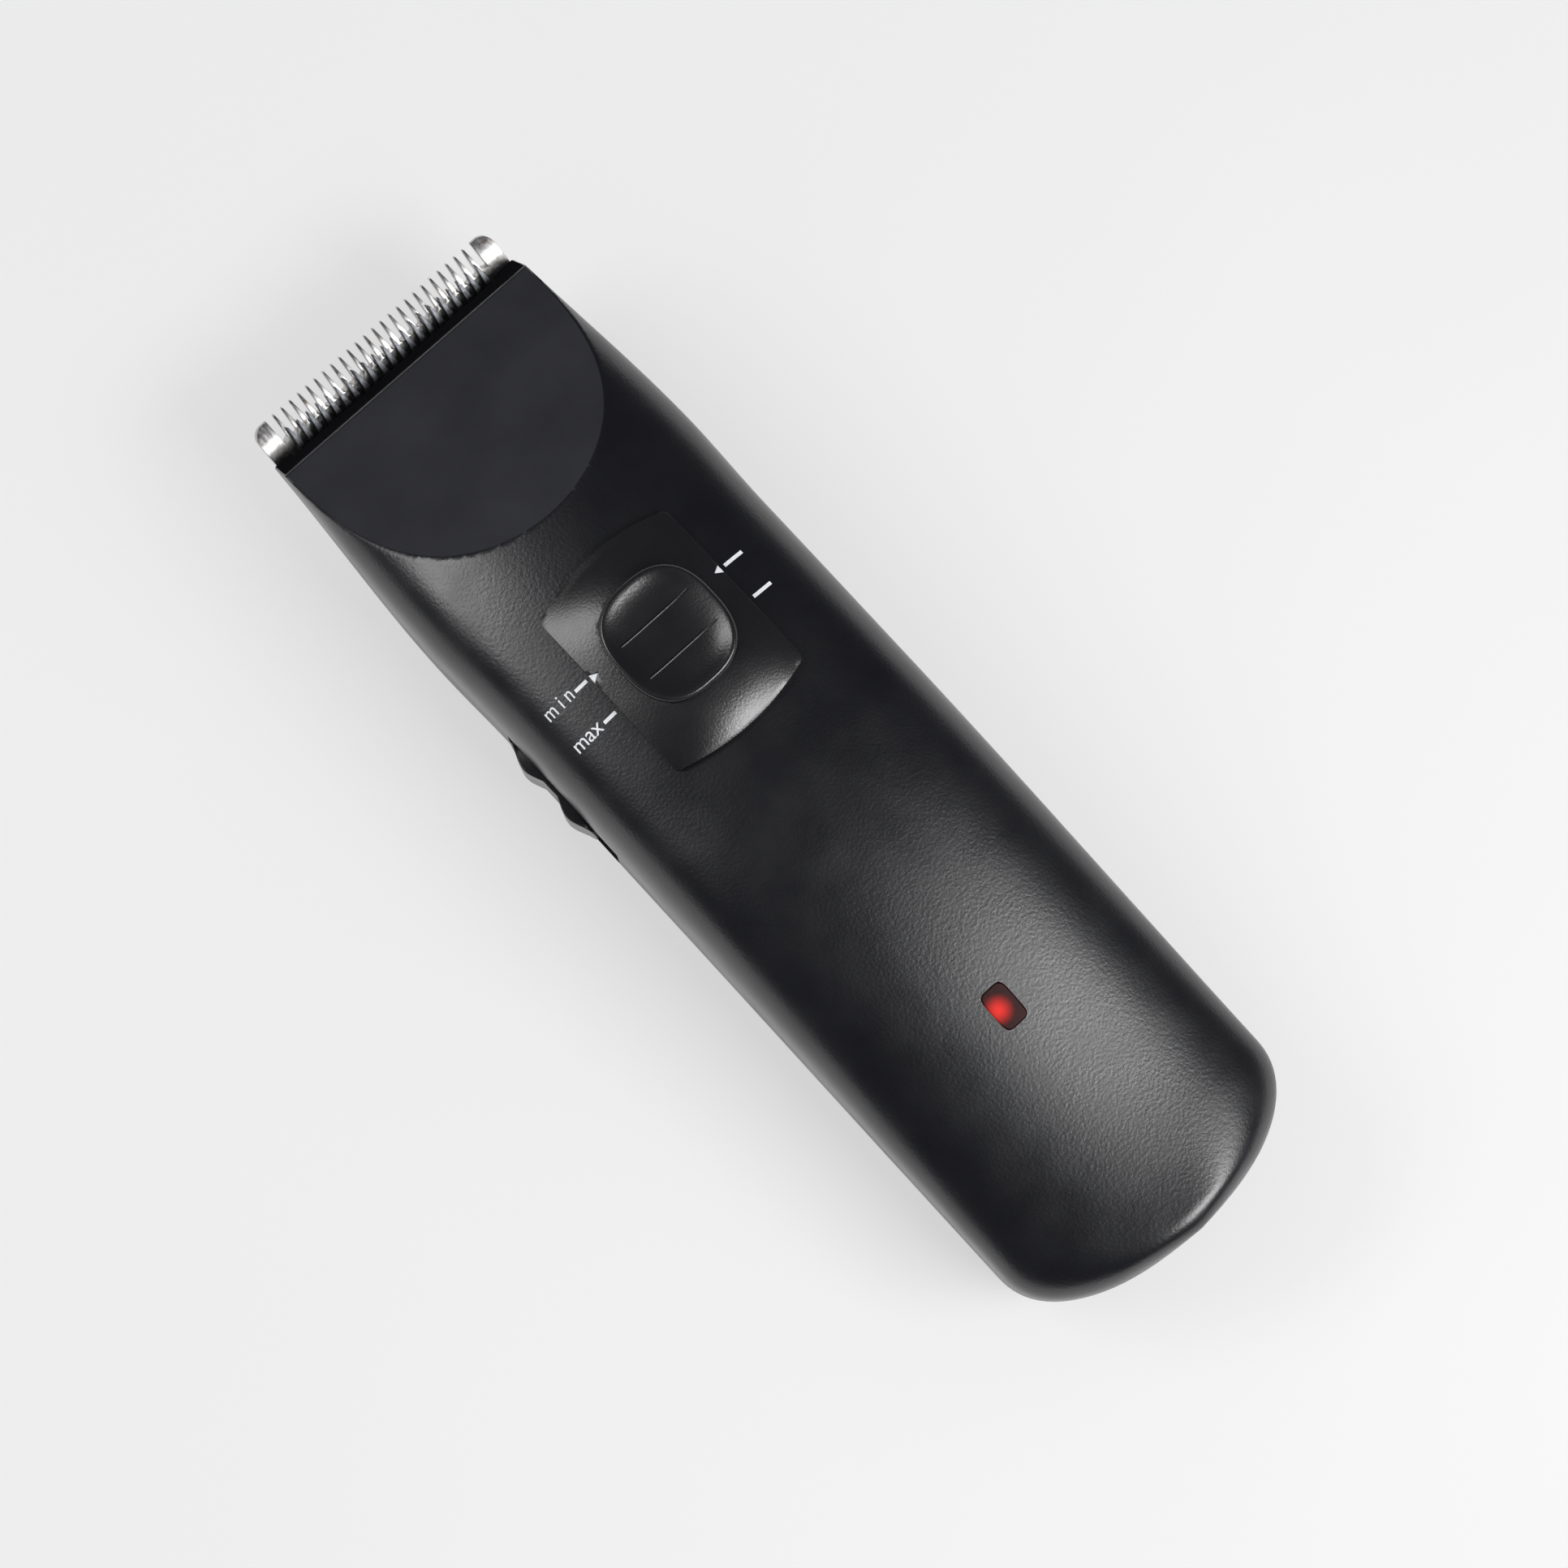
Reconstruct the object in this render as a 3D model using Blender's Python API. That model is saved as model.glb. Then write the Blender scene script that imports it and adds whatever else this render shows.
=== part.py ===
"""Cordless animal clipper with a detachable blade head.

Metres, +Z up, +Y towards the blade. The origin lies on the flat land of the belly that the clipper rests on.
The blade head is drawn in its own frame: its origin is the rear lower edge of the comb, where the head tilts
off the housing, y runs along the comb to the tooth tips and z stands square to the comb.
"""

import math

import bmesh
import bpy
from mathutils import Matrix, Vector

# Clearances
GAP = 0.0003
RUN_GAP = 0.0005

# Housing
WALL = 0.0022
BODY_WIDTH = 0.0500
SHOULDER_BULGE = 0.0004
SHOULDER_Y = 0.0060
REAR_Y = -0.1280
REAR_ROUND = 0.0140
REAR_ROUND_POWER = 2.2
REAR_END_SHARE = 0.9985
REAR_EDGE = 0.0030
TOP_Z = 0.0415
TOP_STRAIGHT_START_Y = -0.0280
TOP_STRAIGHT_END_Y = -0.0410
TOP_FRONT_FALL = 0.0058
REAR_TOP_Z = 0.0300
TOP_POWER = 6.0
TOP_SIDE_FALL = 0.0045
BOTTOM_POWER = 3.4
PARTING_Z = 0.0197
PARTING_SLOPE = 0.030
WAIST_RISE = 0.0030
WAIST_FRONT_Y = -0.0100
WAIST_REAR_Y = -0.1000
LAND_SINK = 0.0004
FACET_FRONT_Y = 0.0409
FACET_FRONT_Z = 0.0268
FACET_PITCH = math.radians(21.6)
NOSE_RAKE = math.radians(33.0)

# Blade head
TIP_Y = 0.0500
TIP_Z = 0.0235
COMB_PITCH = math.radians(38.0)
COMB_LENGTH = 0.0280
COMB_WIDTH = 0.0460
COMB_REAR_WIDTH = 0.0300
COMB_THICK = 0.0018
COMB_TIP_THICK = 0.0007
COMB_TEETH = 24
COMB_END_GAP = 0.00104
COMB_INSET = 0.0004
COMB_TOOTH_LENGTH = 0.0042
COMB_TOOTH_ROOT = 0.0008
COMB_TOOTH_TIP = 0.00045
POST_WIDTH = 0.0030
POST_ROUND = 0.0020
HEAD_SIDE_GAP = 0.0002
HEAD_SLOT_HEIGHT = 0.0040

CUTTER_TEETH = 21
CUTTER_INSET = 0.0040
CUTTER_SETBACK = 0.0022
CUTTER_DEPTH = 0.0118
CUTTER_THICK = 0.0014
CUTTER_TOOTH_LENGTH = 0.0050
CUTTER_TOOTH_ROOT = 0.0014
CUTTER_TOOTH_TIP = 0.0003
THROW = 0.0012
TAPER_SHIFT = 0.0020

BASE_WIDTH = 0.0344
BASE_HEIGHT = 0.0040
BASE_ARM = 0.0027
BASE_BAR_REAR = 0.0005
BASE_BAR_DEPTH = 0.0042
HOOK_X = 0.0070
HOOK_WIDTH = 0.0040
HOOK_REACH = 0.0018
HOOK_THICK = 0.0014
HOOK_LIFT = 0.0008
BLADE_SCREW_INSET = 0.0072
BLADE_SCREW_HEAD_R = 0.0022
BLADE_SCREW_HEAD_T = 0.0009
BLADE_SCREW_R = 0.0012
BLADE_SCREW_DEPTH = 0.0030

CARRIAGE_HEIGHT = 0.0030
CARRIAGE_LIP = 0.0009
SPRING_THICK = 0.0004
SPRING_FINGER_X = 0.0115
SPRING_FINGER_WIDTH = 0.0030
SPRING_REACH = 0.0048
LEVER_WIDTH = 0.0116
LEVER_FOOT = 0.0035
LEVER_FOOT_HEIGHT = 0.0018
LEVER_ARM_TOP_Z = 0.0232
LEVER_ARM_HEIGHT = 0.0052
LEVER_KNEE_Y = 0.0300
LEVER_RISE = 0.0024

# Drive
MOTOR_Z = 0.0215
MOTOR_R = 0.0120
MOTOR_REAR_Y = -0.0300
MOTOR_LENGTH = 0.0310
MOTOR_BOSS_R = 0.0040
MOTOR_BOSS_LENGTH = 0.0020
SHAFT_R = 0.00115
SHAFT_IN = 0.0220
ECCENTRIC_R = 0.0045
ECCENTRIC_LENGTH = 0.0057
ECCENTRIC_STANDOFF = 0.0030
SHAFT_SEAT = 0.0043
PIN_R = 0.0010
PIN_LENGTH = 0.0046

# Length slider
SLIDER_Y = -0.0174
SLIDER_LENGTH = 0.0330
SLIDER_WIDTH = 0.0240
SLIDER_THICK = 0.0013
SLIDER_TRAVEL = 0.0060
SLIDER_BOW = 0.0017
SLIDER_CORNER = 0.0012
NOTCH_DEPTH = 0.0012
NOTCH_WIDTH = 0.0020
NOTCH_Y = -0.0144
STEM_SIZE = 0.0080
PAD_Y = -0.0170
PAD_LENGTH = 0.0188
PAD_WIDTH = 0.0172
PAD_HEIGHT = 0.0016
PAD_DISH = 0.0011
PAD_CORNER_POWER = 2.6
PAD_EDGE_POWER = 8
RETAINER_SIZE = 0.0140
RETAINER_THICK = 0.0031
RETAINER_DROP = 0.0004
LINK_THICK = 0.0012
LINK_WIDTH = 0.0060
LINK_ARM_X = 0.0085
LINK_ARM_WIDTH = 0.0018
LINK_ARM_BAND = 0.0040
LINK_TIP_BAND = 0.0024
LINK_OVERLAP = 0.0003
LINK_TIP_GAP = 0.0011

# Power switch
SWITCH_Y = -0.01885
SWITCH_LENGTH = 0.0187
SWITCH_HEIGHT = 0.0080
SWITCH_TRAVEL = 0.0040
SWITCH_PROUD = 0.0003
SWITCH_HUMP = 0.0013
SWITCH_CORNER_POWER = 4.0
SWITCH_INSIDE = 0.0006
CARRIER_OVERLAP = 0.0026
CARRIER_THICK = 0.0013
MODULE_CLEARANCE = 0.0021
MODULE_LENGTH = 0.0130
MODULE_HEIGHT = 0.0085

# Electronics
CELL_R = 0.0092
CELL_LENGTH = 0.0637
CELL_FRONT_Y = -0.0476
TAB_THICK = 0.0004
TAB_SIZE = 0.0100
BOARD_WIDTH = 0.0170
BOARD_THICK = 0.0012
LED_Y = -0.0865
LED_R = 0.0015
LED_HEIGHT = 0.0034
LENS_WIDTH = 0.0041
LENS_LENGTH = 0.0064
LENS_DEPTH = 0.0030
LENS_CORNER_POWER = 5.0
SOCKET_WIDTH = 0.0100
SOCKET_DEPTH = 0.0092
SOCKET_BORE_R = 0.0033
SOCKET_BORE_DEPTH = 0.0072

# Chassis and housing screws
CHASSIS_WIDTH = 0.0166
CHASSIS_THICK = 0.0016
CHASSIS_WALL = 0.0016
SADDLE_WIDTH = 0.0160
SADDLE_INSET = 0.0040
COLUMN_X = 0.0120
COLUMN_R = 0.0031
COLUMN_FRONT_Y = -0.0420
COLUMN_REAR_Y = -0.1182
SCREW_R = 0.0013
SCREW_HEAD_R = 0.0023
SCREW_HEAD_T = 0.0016
SCREW_SEAT = 0.0060
SCREW_GRIP = 0.0080

# Mesh counts
SECTION_POINTS = 36
STATION_STEPS = (3, 6, 3, 3, 8, 2)
REAR_STEPS = 8
REAR_LAST_TURN = math.radians(84.0)
LARGE_ROUND_POINTS = 32
ROUND_POINTS = 24
SMALL_ROUND_POINTS = 16
CORNER_STEPS = 4
BOW_STEPS = 4
PATCH_POINTS = 40
PATCH_RINGS = 3

# Reach of the plain blocks that trim other pieces, and the shortest edge that is kept
FAR = 0.2
SLIVER = 0.000002

# Faces that meet at less than this angle are shaded as one
SMOOTH_ANGLE = math.radians(32.0)

HALF_TURN = math.pi


# Places that follow from the sizes above
HEAD_PIVOT = Vector((
    0.0,
    TIP_Y - COMB_LENGTH * math.cos(COMB_PITCH),
    TIP_Z - COMB_LENGTH * math.sin(COMB_PITCH),
))
HEAD_FRAME = Matrix.Translation(HEAD_PIVOT) @ Matrix.Rotation(COMB_PITCH, 4, "X")
BELLY_RADIUS = (HEAD_PIVOT.z + LAND_SINK) / (1.0 - math.cos(COMB_PITCH))
BELLY_FRONT_Y = HEAD_PIVOT.y - BELLY_RADIUS * math.sin(COMB_PITCH)
NOSE_WIDTH = COMB_WIDTH + 2.0 * COMB_INSET
COMB_SPAN = COMB_WIDTH - 2.0 * (POST_WIDTH + COMB_END_GAP)
COMB_PITCH_X = (COMB_SPAN - COMB_TOOTH_ROOT) / (COMB_TEETH - 1)
CUTTER_WIDTH = COMB_WIDTH - 2.0 * CUTTER_INSET
CUTTER_PITCH_X = (CUTTER_WIDTH - CUTTER_TOOTH_ROOT) / (CUTTER_TEETH - 1)
HEAD_OPENING_WIDTH = CUTTER_WIDTH + 2.0 * (THROW + HEAD_SIDE_GAP)
BLADE_SCREW_X = 0.5 * BASE_WIDTH - BLADE_SCREW_INSET
CUTTER_Z = COMB_THICK + GAP
CUTTER_TOP = CUTTER_Z + CUTTER_THICK
CUTTER_TIP = COMB_LENGTH - CUTTER_SETBACK
CUTTER_REAR = CUTTER_TIP - CUTTER_DEPTH
BASE_BAR_FRONT = BASE_BAR_REAR + BASE_BAR_DEPTH
CARRIAGE_REAR = BASE_BAR_FRONT + TAPER_SHIFT + GAP
CARRIAGE_FRONT = CUTTER_REAR - GAP
BASE_ARM_FRONT = CARRIAGE_FRONT - TAPER_SHIFT
CARRIAGE_TOP = CUTTER_Z + CARRIAGE_HEIGHT
CARRIAGE_WIDTH = BASE_WIDTH - 2.0 * (BASE_ARM + GAP)
MOTOR_FRONT_Y = MOTOR_REAR_Y + MOTOR_LENGTH
BOSS_FRONT_Y = MOTOR_FRONT_Y + MOTOR_BOSS_LENGTH
ECCENTRIC_REAR_Y = BOSS_FRONT_Y + ECCENTRIC_STANDOFF
ECCENTRIC_FRONT_Y = ECCENTRIC_REAR_Y + ECCENTRIC_LENGTH
PIN_FRONT_Y = ECCENTRIC_FRONT_Y + PIN_LENGTH
FORK_SLOT = 2.0 * (PIN_R + 2.0 * THROW + GAP)
LINK_ARM_REAR_Y = MOTOR_FRONT_Y + SLIDER_TRAVEL + RUN_GAP
LINK_FRONT_Y = LINK_ARM_REAR_Y + LINK_ARM_BAND
CHASSIS_Z = WAIST_RISE - LAND_SINK + WALL + GAP
FLOOR_TOP = CHASSIS_Z + CHASSIS_THICK
CELL_Z = FLOOR_TOP + GAP + CELL_R
CELL_REAR_Y = CELL_FRONT_Y - CELL_LENGTH
WALL_TOP = CELL_Z + CELL_R
BOARD_Z = WALL_TOP + GAP


def parting_z(y):
    """Height of the joint between the two shells, which is also where the housing is widest."""
    return PARTING_Z + PARTING_SLOPE * y


def smooth(t):
    """Ease from 0 to 1 with level ends."""
    t = min(max(t, 0.0), 1.0)
    return t * t * (3.0 - 2.0 * t)


def edge_drop(y, inset):
    """How far the top and bottom edges round over at the rear end."""
    u = (REAR_Y + inset + REAR_EDGE - y) / REAR_EDGE
    u = min(max(u, 0.0), 1.0)
    return REAR_EDGE * (1.0 - math.sqrt(1.0 - u * u))


def top_z(y):
    """Crown of the housing: highest behind the slider, falling to the blade and to the rear."""
    front = max(y - TOP_STRAIGHT_START_Y, 0.0) / (FACET_FRONT_Y - TOP_STRAIGHT_START_Y)
    rear = (TOP_STRAIGHT_END_Y - y) / (TOP_STRAIGHT_END_Y - REAR_Y)
    return TOP_Z - TOP_FRONT_FALL * front * front - (TOP_Z - REAR_TOP_Z) * smooth(rear)


def bottom_z(y):
    """Underside: ramp along the comb, round belly, flat land, hand waist and heel."""
    if y >= HEAD_PIVOT.y:
        return HEAD_PIVOT.z + (y - HEAD_PIVOT.y) * math.tan(COMB_PITCH)
    if y >= BELLY_FRONT_Y:
        run = y - BELLY_FRONT_Y
        return BELLY_RADIUS - math.sqrt(BELLY_RADIUS ** 2 - run ** 2) - LAND_SINK
    t = (WAIST_FRONT_Y - y) / (WAIST_FRONT_Y - WAIST_REAR_Y)
    t = min(max(t, 0.0), 1.0)
    return 0.5 * WAIST_RISE * (1.0 - math.cos(2.0 * HALF_TURN * t)) - LAND_SINK


def half_width(y, inset=0.0):
    """Half the housing's width at its widest height."""
    half = 0.5 * BODY_WIDTH - inset
    start = REAR_Y + REAR_ROUND
    if y < start:
        u = min((start - y) / (REAR_ROUND - inset), 1.0)
        return half * (1.0 - u ** REAR_ROUND_POWER) ** (1.0 / REAR_ROUND_POWER)
    rise = smooth((y - WAIST_FRONT_Y) / (SHOULDER_Y - WAIST_FRONT_Y))
    fall = smooth((y - SHOULDER_Y) / (TIP_Y - SHOULDER_Y))
    shoulder = half + SHOULDER_BULGE * rise
    return shoulder + (0.5 * NOSE_WIDTH - inset - shoulder) * fall


def rounded(share, power):
    """Height of a rounded box, as a share of its full height, at a share of its half width."""
    return (1.0 - min(abs(share), 1.0) ** power) ** (1.0 / power)


def arch(share, height):
    """Height of the upper half of a cross-section: a gentle crown with tight edges."""
    return (height - TOP_SIDE_FALL * share * share) * rounded(share, TOP_POWER)


def crown_z(x, y):
    """Height of the housing's top surface above a point in plan."""
    middle = parting_z(y)
    return middle + arch(x / half_width(y), top_z(y) - middle)


def signed_power(value, power):
    return math.copysign(abs(value) ** power, value)


def section(y, inset):
    """One cross-section of the housing, drawn in by inset."""
    middle = parting_z(y)
    drop = edge_drop(y, inset)
    up = top_z(y) - inset - drop - middle
    down = middle - bottom_z(y) - inset - drop
    half = half_width(y, inset)
    points = []
    for index in range(SECTION_POINTS):
        share = math.cos(2.0 * HALF_TURN * index / SECTION_POINTS)
        upper = index <= SECTION_POINTS // 2
        height = arch(share, up) if upper else -down * rounded(share, BOTTOM_POWER)
        points.append(Vector((half * share, y, middle + height)))
    return points


def stations(inset):
    """Places along the length where the housing's sections stand, from the nose to the rear end."""
    marks = [TIP_Y, HEAD_PIVOT.y, BELLY_FRONT_Y, WAIST_FRONT_Y, TOP_STRAIGHT_END_Y, WAIST_REAR_Y,
             REAR_Y + REAR_ROUND]
    places = []
    for start, end, count in zip(marks, marks[1:], STATION_STEPS):
        places.extend(start + (end - start) * index / count for index in range(count))
    depth = (REAR_ROUND - inset) * REAR_END_SHARE / math.sin(REAR_LAST_TURN)
    for index in range(REAR_STEPS + 1):
        places.append(REAR_Y + REAR_ROUND - depth * math.sin(REAR_LAST_TURN * index / REAR_STEPS))
    return places


def make_object(name, bm):
    """Finish a bmesh as an object of flat triangles with its faces pointing out."""
    bmesh.ops.recalc_face_normals(bm, faces=bm.faces)
    bmesh.ops.triangulate(bm, faces=bm.faces)
    mesh = bpy.data.meshes.new(name)
    bm.to_mesh(mesh)
    bm.free()
    obj = bpy.data.objects.new(name, mesh)
    bpy.context.collection.objects.link(obj)
    return obj


def make_flat(mesh):
    """Split every face into triangles and drop slivers shorter than the meshes can hold."""
    bm = bmesh.new()
    bm.from_mesh(mesh)
    bmesh.ops.dissolve_degenerate(bm, dist=SLIVER, edges=bm.edges)
    bmesh.ops.triangulate(bm, faces=bm.faces)
    bm.to_mesh(mesh)
    bm.free()


def loft(name, rings):
    """Closed solid through rings of equal point count."""
    bm = bmesh.new()
    loops = [[bm.verts.new(point) for point in ring] for ring in rings]
    for first, second in zip(loops, loops[1:]):
        count = len(first)
        for index in range(count):
            after = (index + 1) % count
            bm.faces.new((first[index], first[after], second[after], second[index]))
    bm.faces.new(loops[0])
    bm.faces.new(loops[-1])
    return make_object(name, bm)


def prism(name, outline, sweep):
    """Closed solid: a flat outline moved along a vector."""
    sweep = Vector(sweep)
    start = [Vector(point) for point in outline]
    return loft(name, [start, [point + sweep for point in start]])


def box(name, low, high):
    corners = [(low[0], low[1], low[2]), (high[0], low[1], low[2]), (high[0], high[1], low[2]),
               (low[0], high[1], low[2])]
    return prism(name, corners, (0.0, 0.0, high[2] - low[2]))


def lathe(name, profile, segments=ROUND_POINTS):
    """Turned solid about Y. The profile runs from axis to axis as (radius, y)."""
    bm = bmesh.new()
    rings = []
    for radius, y in profile:
        if radius == 0.0:
            rings.append([bm.verts.new((0.0, y, 0.0))])
            continue
        angles = [2.0 * HALF_TURN * index / segments for index in range(segments)]
        rings.append([bm.verts.new((radius * math.cos(a), y, radius * math.sin(a))) for a in angles])
    for first, second in zip(rings, rings[1:]):
        for index in range(segments):
            after = (index + 1) % segments
            corners = [first[index % len(first)], first[after % len(first)],
                       second[after % len(second)], second[index % len(second)]]
            unique = list(dict.fromkeys(corners))
            bm.faces.new(unique)
    return make_object(name, bm)


def rod(name, radius, start, end, segments=ROUND_POINTS):
    """Plain round bar between two points."""
    start = Vector(start)
    span = Vector(end) - start
    bar = lathe(name, [(0.0, 0.0), (radius, 0.0), (radius, span.length), (0.0, span.length)], segments)
    turn = Vector((0.0, 1.0, 0.0)).rotation_difference(span)
    bar.data.transform(Matrix.Translation(start) @ turn.to_matrix().to_4x4())
    return bar


def squircle(half_x, half_y, power, count=PATCH_POINTS):
    """Rounded rectangle in plan, centred on zero."""
    points = []
    for index in range(count):
        angle = 2.0 * HALF_TURN * (index + 0.5) / count
        x = half_x * signed_power(math.cos(angle), 2.0 / power)
        y = half_y * signed_power(math.sin(angle), 2.0 / power)
        points.append((x, y))
    return points


def bowed_rectangle(half_x, half_y, bow, corner):
    """Plan outline with straight sides, small round corners and two ends that bow outwards."""
    inner_x = half_x - corner
    quarter = []
    for index in range(BOW_STEPS):
        x = inner_x * index / BOW_STEPS
        quarter.append((x, half_y - bow * (x / inner_x) ** 2))
    for index in range(CORNER_STEPS + 1):
        angle = 0.5 * HALF_TURN * (1.0 - index / CORNER_STEPS)
        quarter.append((inner_x + corner * math.cos(angle), half_y - bow - corner * (1.0 - math.sin(angle))))
    right = quarter + [(x, -y) for x, y in reversed(quarter)]
    left = [(-x, y) for x, y in reversed(right[1:-1])]
    return right + left


def patch(name, outline, centre, low, high, place):
    """Solid over a plan outline between two height functions; place maps (u, v, height) to space."""
    bm = bmesh.new()
    layers = []
    for height in (low, high):
        middle = bm.verts.new(place(centre[0], centre[1], height(*centre)))
        rings = []
        for ring in range(1, PATCH_RINGS + 1):
            share = ring / PATCH_RINGS
            loop = []
            for u, v in outline:
                u_at = centre[0] + u * share
                v_at = centre[1] + v * share
                loop.append(bm.verts.new(place(u_at, v_at, height(u_at, v_at))))
            rings.append(loop)
        layers.append(rings)
        count = len(outline)
        for index in range(count):
            after = (index + 1) % count
            bm.faces.new((middle, rings[0][index], rings[0][after]))
            for inner, outer in zip(rings, rings[1:]):
                bm.faces.new((inner[index], outer[index], outer[after], inner[after]))
    lower = layers[0][-1]
    upper = layers[1][-1]
    for index in range(len(outline)):
        after = (index + 1) % len(outline)
        bm.faces.new((lower[index], lower[after], upper[after], upper[index]))
    return make_object(name, bm)


def upright(u, v, height):
    return Vector((u, v, height))


def on_left_flank(u, v, height):
    return Vector((-height, u, v))


def half_space(name, point, normal):
    """Large block whose one face holds the point and which fills the side that the normal points to."""
    block = box(name, (-FAR, -FAR, 0.0), (FAR, FAR, FAR))
    turn = Vector(normal).to_track_quat("Z", "Y").to_matrix().to_4x4()
    block.data.transform(Matrix.Translation(Vector(point)) @ turn)
    return block


def combine(target, tool, operation):
    """Boolean of two solids; the tool is used up."""
    modifier = target.modifiers.new("shape", "BOOLEAN")
    modifier.operation = operation
    modifier.solver = "EXACT"
    modifier.object = tool
    bpy.context.view_layer.update()
    evaluated = target.evaluated_get(bpy.context.evaluated_depsgraph_get())
    mesh = bpy.data.meshes.new_from_object(evaluated)
    make_flat(mesh)
    target.modifiers.clear()
    target.data = mesh
    bpy.data.objects.remove(tool)
    return target


def cut(target, *tools):
    for tool in tools:
        combine(target, tool, "DIFFERENCE")
    return target


def unite(target, *tools):
    for tool in tools:
        combine(target, tool, "UNION")
    return target


def duplicate(obj, name):
    twin = bpy.data.objects.new(name, obj.data.copy())
    bpy.context.collection.objects.link(twin)
    return twin


def to_head(obj):
    """Place a piece drawn in the blade head's frame."""
    obj.matrix_world = HEAD_FRAME
    return obj


def head_to_world(y, z):
    return HEAD_FRAME @ Vector((0.0, y, z))


def facet_cut(name, inset):
    normal = Vector((0.0, math.sin(FACET_PITCH), math.cos(FACET_PITCH)))
    edge = Vector((0.0, FACET_FRONT_Y, FACET_FRONT_Z))
    return half_space(name, edge - normal * inset, normal)


def nose_cut(name, inset):
    normal = Vector((0.0, math.cos(NOSE_RAKE), math.sin(NOSE_RAKE)))
    edge = Vector((0.0, FACET_FRONT_Y, FACET_FRONT_Z))
    return half_space(name, edge - normal * inset, normal)


def in_head_frame(obj):
    """Move a trimming block drawn in the blade head's frame to its place."""
    obj.data.transform(HEAD_FRAME)
    return obj


def column_places():
    return [(side * COLUMN_X, y) for y in (COLUMN_FRONT_Y, COLUMN_REAR_Y) for side in (-1.0, 1.0)]


def parting_normal():
    return Vector((0.0, -PARTING_SLOPE, 1.0)).normalized()


def hollow_housing():
    """Both shells in one, before they are split: outer form, hollow, blade opening and screw columns."""
    outer = loft("housing", [section(y, 0.0) for y in stations(0.0)])
    cut(outer, half_space("below", (0.0, 0.0, 0.0), (0.0, 0.0, -1.0)))
    cut(outer, facet_cut("facet", 0.0), nose_cut("nose", 0.0))
    seat = box("seat", (-FAR, -GAP, -FAR), (FAR, FAR, CUTTER_Z))
    half = 0.5 * HEAD_OPENING_WIDTH
    opening = box("opening", (-half, 0.0, -WALL), (half, FAR, HEAD_SLOT_HEIGHT))
    cut(outer, in_head_frame(seat), in_head_frame(opening))
    inner = loft("hollow", [section(y, WALL) for y in stations(WALL)])
    cut(inner, facet_cut("facet", WALL), nose_cut("nose", WALL))
    for x, y in column_places():
        cut(inner, rod("column", COLUMN_R, (x, y, -WALL), (x, y, TOP_Z)))
    return cut(outer, inner)


def switch_slot():
    rear = SWITCH_Y - 0.5 * SWITCH_LENGTH - SWITCH_TRAVEL - RUN_GAP
    front = SWITCH_Y + 0.5 * SWITCH_LENGTH + RUN_GAP
    reach = 0.5 * SWITCH_HEIGHT + RUN_GAP
    middle = parting_z(SWITCH_Y)
    inside = 0.5 * BODY_WIDTH - 2.0 * WALL
    return box("switch_slot", (-BODY_WIDTH, rear, middle - reach), (-inside, front, middle + reach))


def socket_centre(y):
    return (0.0, y, parting_z(REAR_Y))


def inlet_hole():
    return rod("inlet", SOCKET_BORE_R, socket_centre(REAR_Y - WALL), socket_centre(REAR_Y + 2.0 * WALL))


def upper_shell(housing):
    shell = duplicate(housing, "upper_shell")
    normal = parting_normal()
    cut(shell, half_space("split", Vector((0.0, 0.0, PARTING_Z)) + normal * 0.5 * GAP, -normal))
    stem = 0.5 * STEM_SIZE + RUN_GAP
    slot = box("slot", (-stem, SLIDER_Y - stem - SLIDER_TRAVEL, PARTING_Z), (stem, SLIDER_Y + stem, FAR))
    window = [(x, y + LED_Y) for x, y in squircle(0.5 * LENS_WIDTH + GAP, 0.5 * LENS_LENGTH + GAP,
                                                 LENS_CORNER_POWER)]
    hole = prism("window", [(x, y, BOARD_Z) for x, y in window], (0.0, 0.0, TOP_Z))
    cut(shell, slot, hole, switch_slot(), inlet_hole())
    for x, y in column_places():
        split = parting_z(y)
        cut(shell, rod("pilot", SCREW_R + GAP, (x, y, split - WALL), (x, y, split + SCREW_GRIP + GAP)))
    return shell


def lower_shell(housing):
    shell = duplicate(housing, "lower_shell")
    normal = parting_normal()
    cut(shell, half_space("split", Vector((0.0, 0.0, PARTING_Z)) - normal * 0.5 * GAP, normal))
    cut(shell, switch_slot(), inlet_hole())
    for x, y in column_places():
        cut(shell, rod("bore", SCREW_HEAD_R + GAP, (x, y, -WALL), (x, y, SCREW_SEAT)))
        cut(shell, rod("bore", SCREW_R + GAP, (x, y, -WALL), (x, y, TOP_Z)))
    return shell


def housing_screw(name, x, y):
    """Screw from below into the upper shell's column."""
    head_bottom = SCREW_SEAT - GAP - SCREW_HEAD_T
    length = parting_z(y) + SCREW_GRIP - head_bottom
    profile = [(0.0, 0.0), (SCREW_HEAD_R, 0.0), (SCREW_HEAD_R, SCREW_HEAD_T), (SCREW_R, SCREW_HEAD_T),
               (SCREW_R, length), (0.0, length)]
    screw = lathe(name, profile, ROUND_POINTS // 2)
    screw.location = (x, y, head_bottom)
    screw.rotation_euler = (0.5 * HALF_TURN, 0.0, 0.0)
    return screw


def toothed_edge(count, pitch, root_y, tip_y, root_width, tip_width):
    """Row of tapered teeth from right to left."""
    points = []
    for index in range(count):
        x = (0.5 * (count - 1) - index) * pitch
        points.append((x + 0.5 * root_width, root_y))
        points.append((x + 0.5 * tip_width, tip_y))
        points.append((x - 0.5 * tip_width, tip_y))
        points.append((x - 0.5 * root_width, root_y))
    return points


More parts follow.
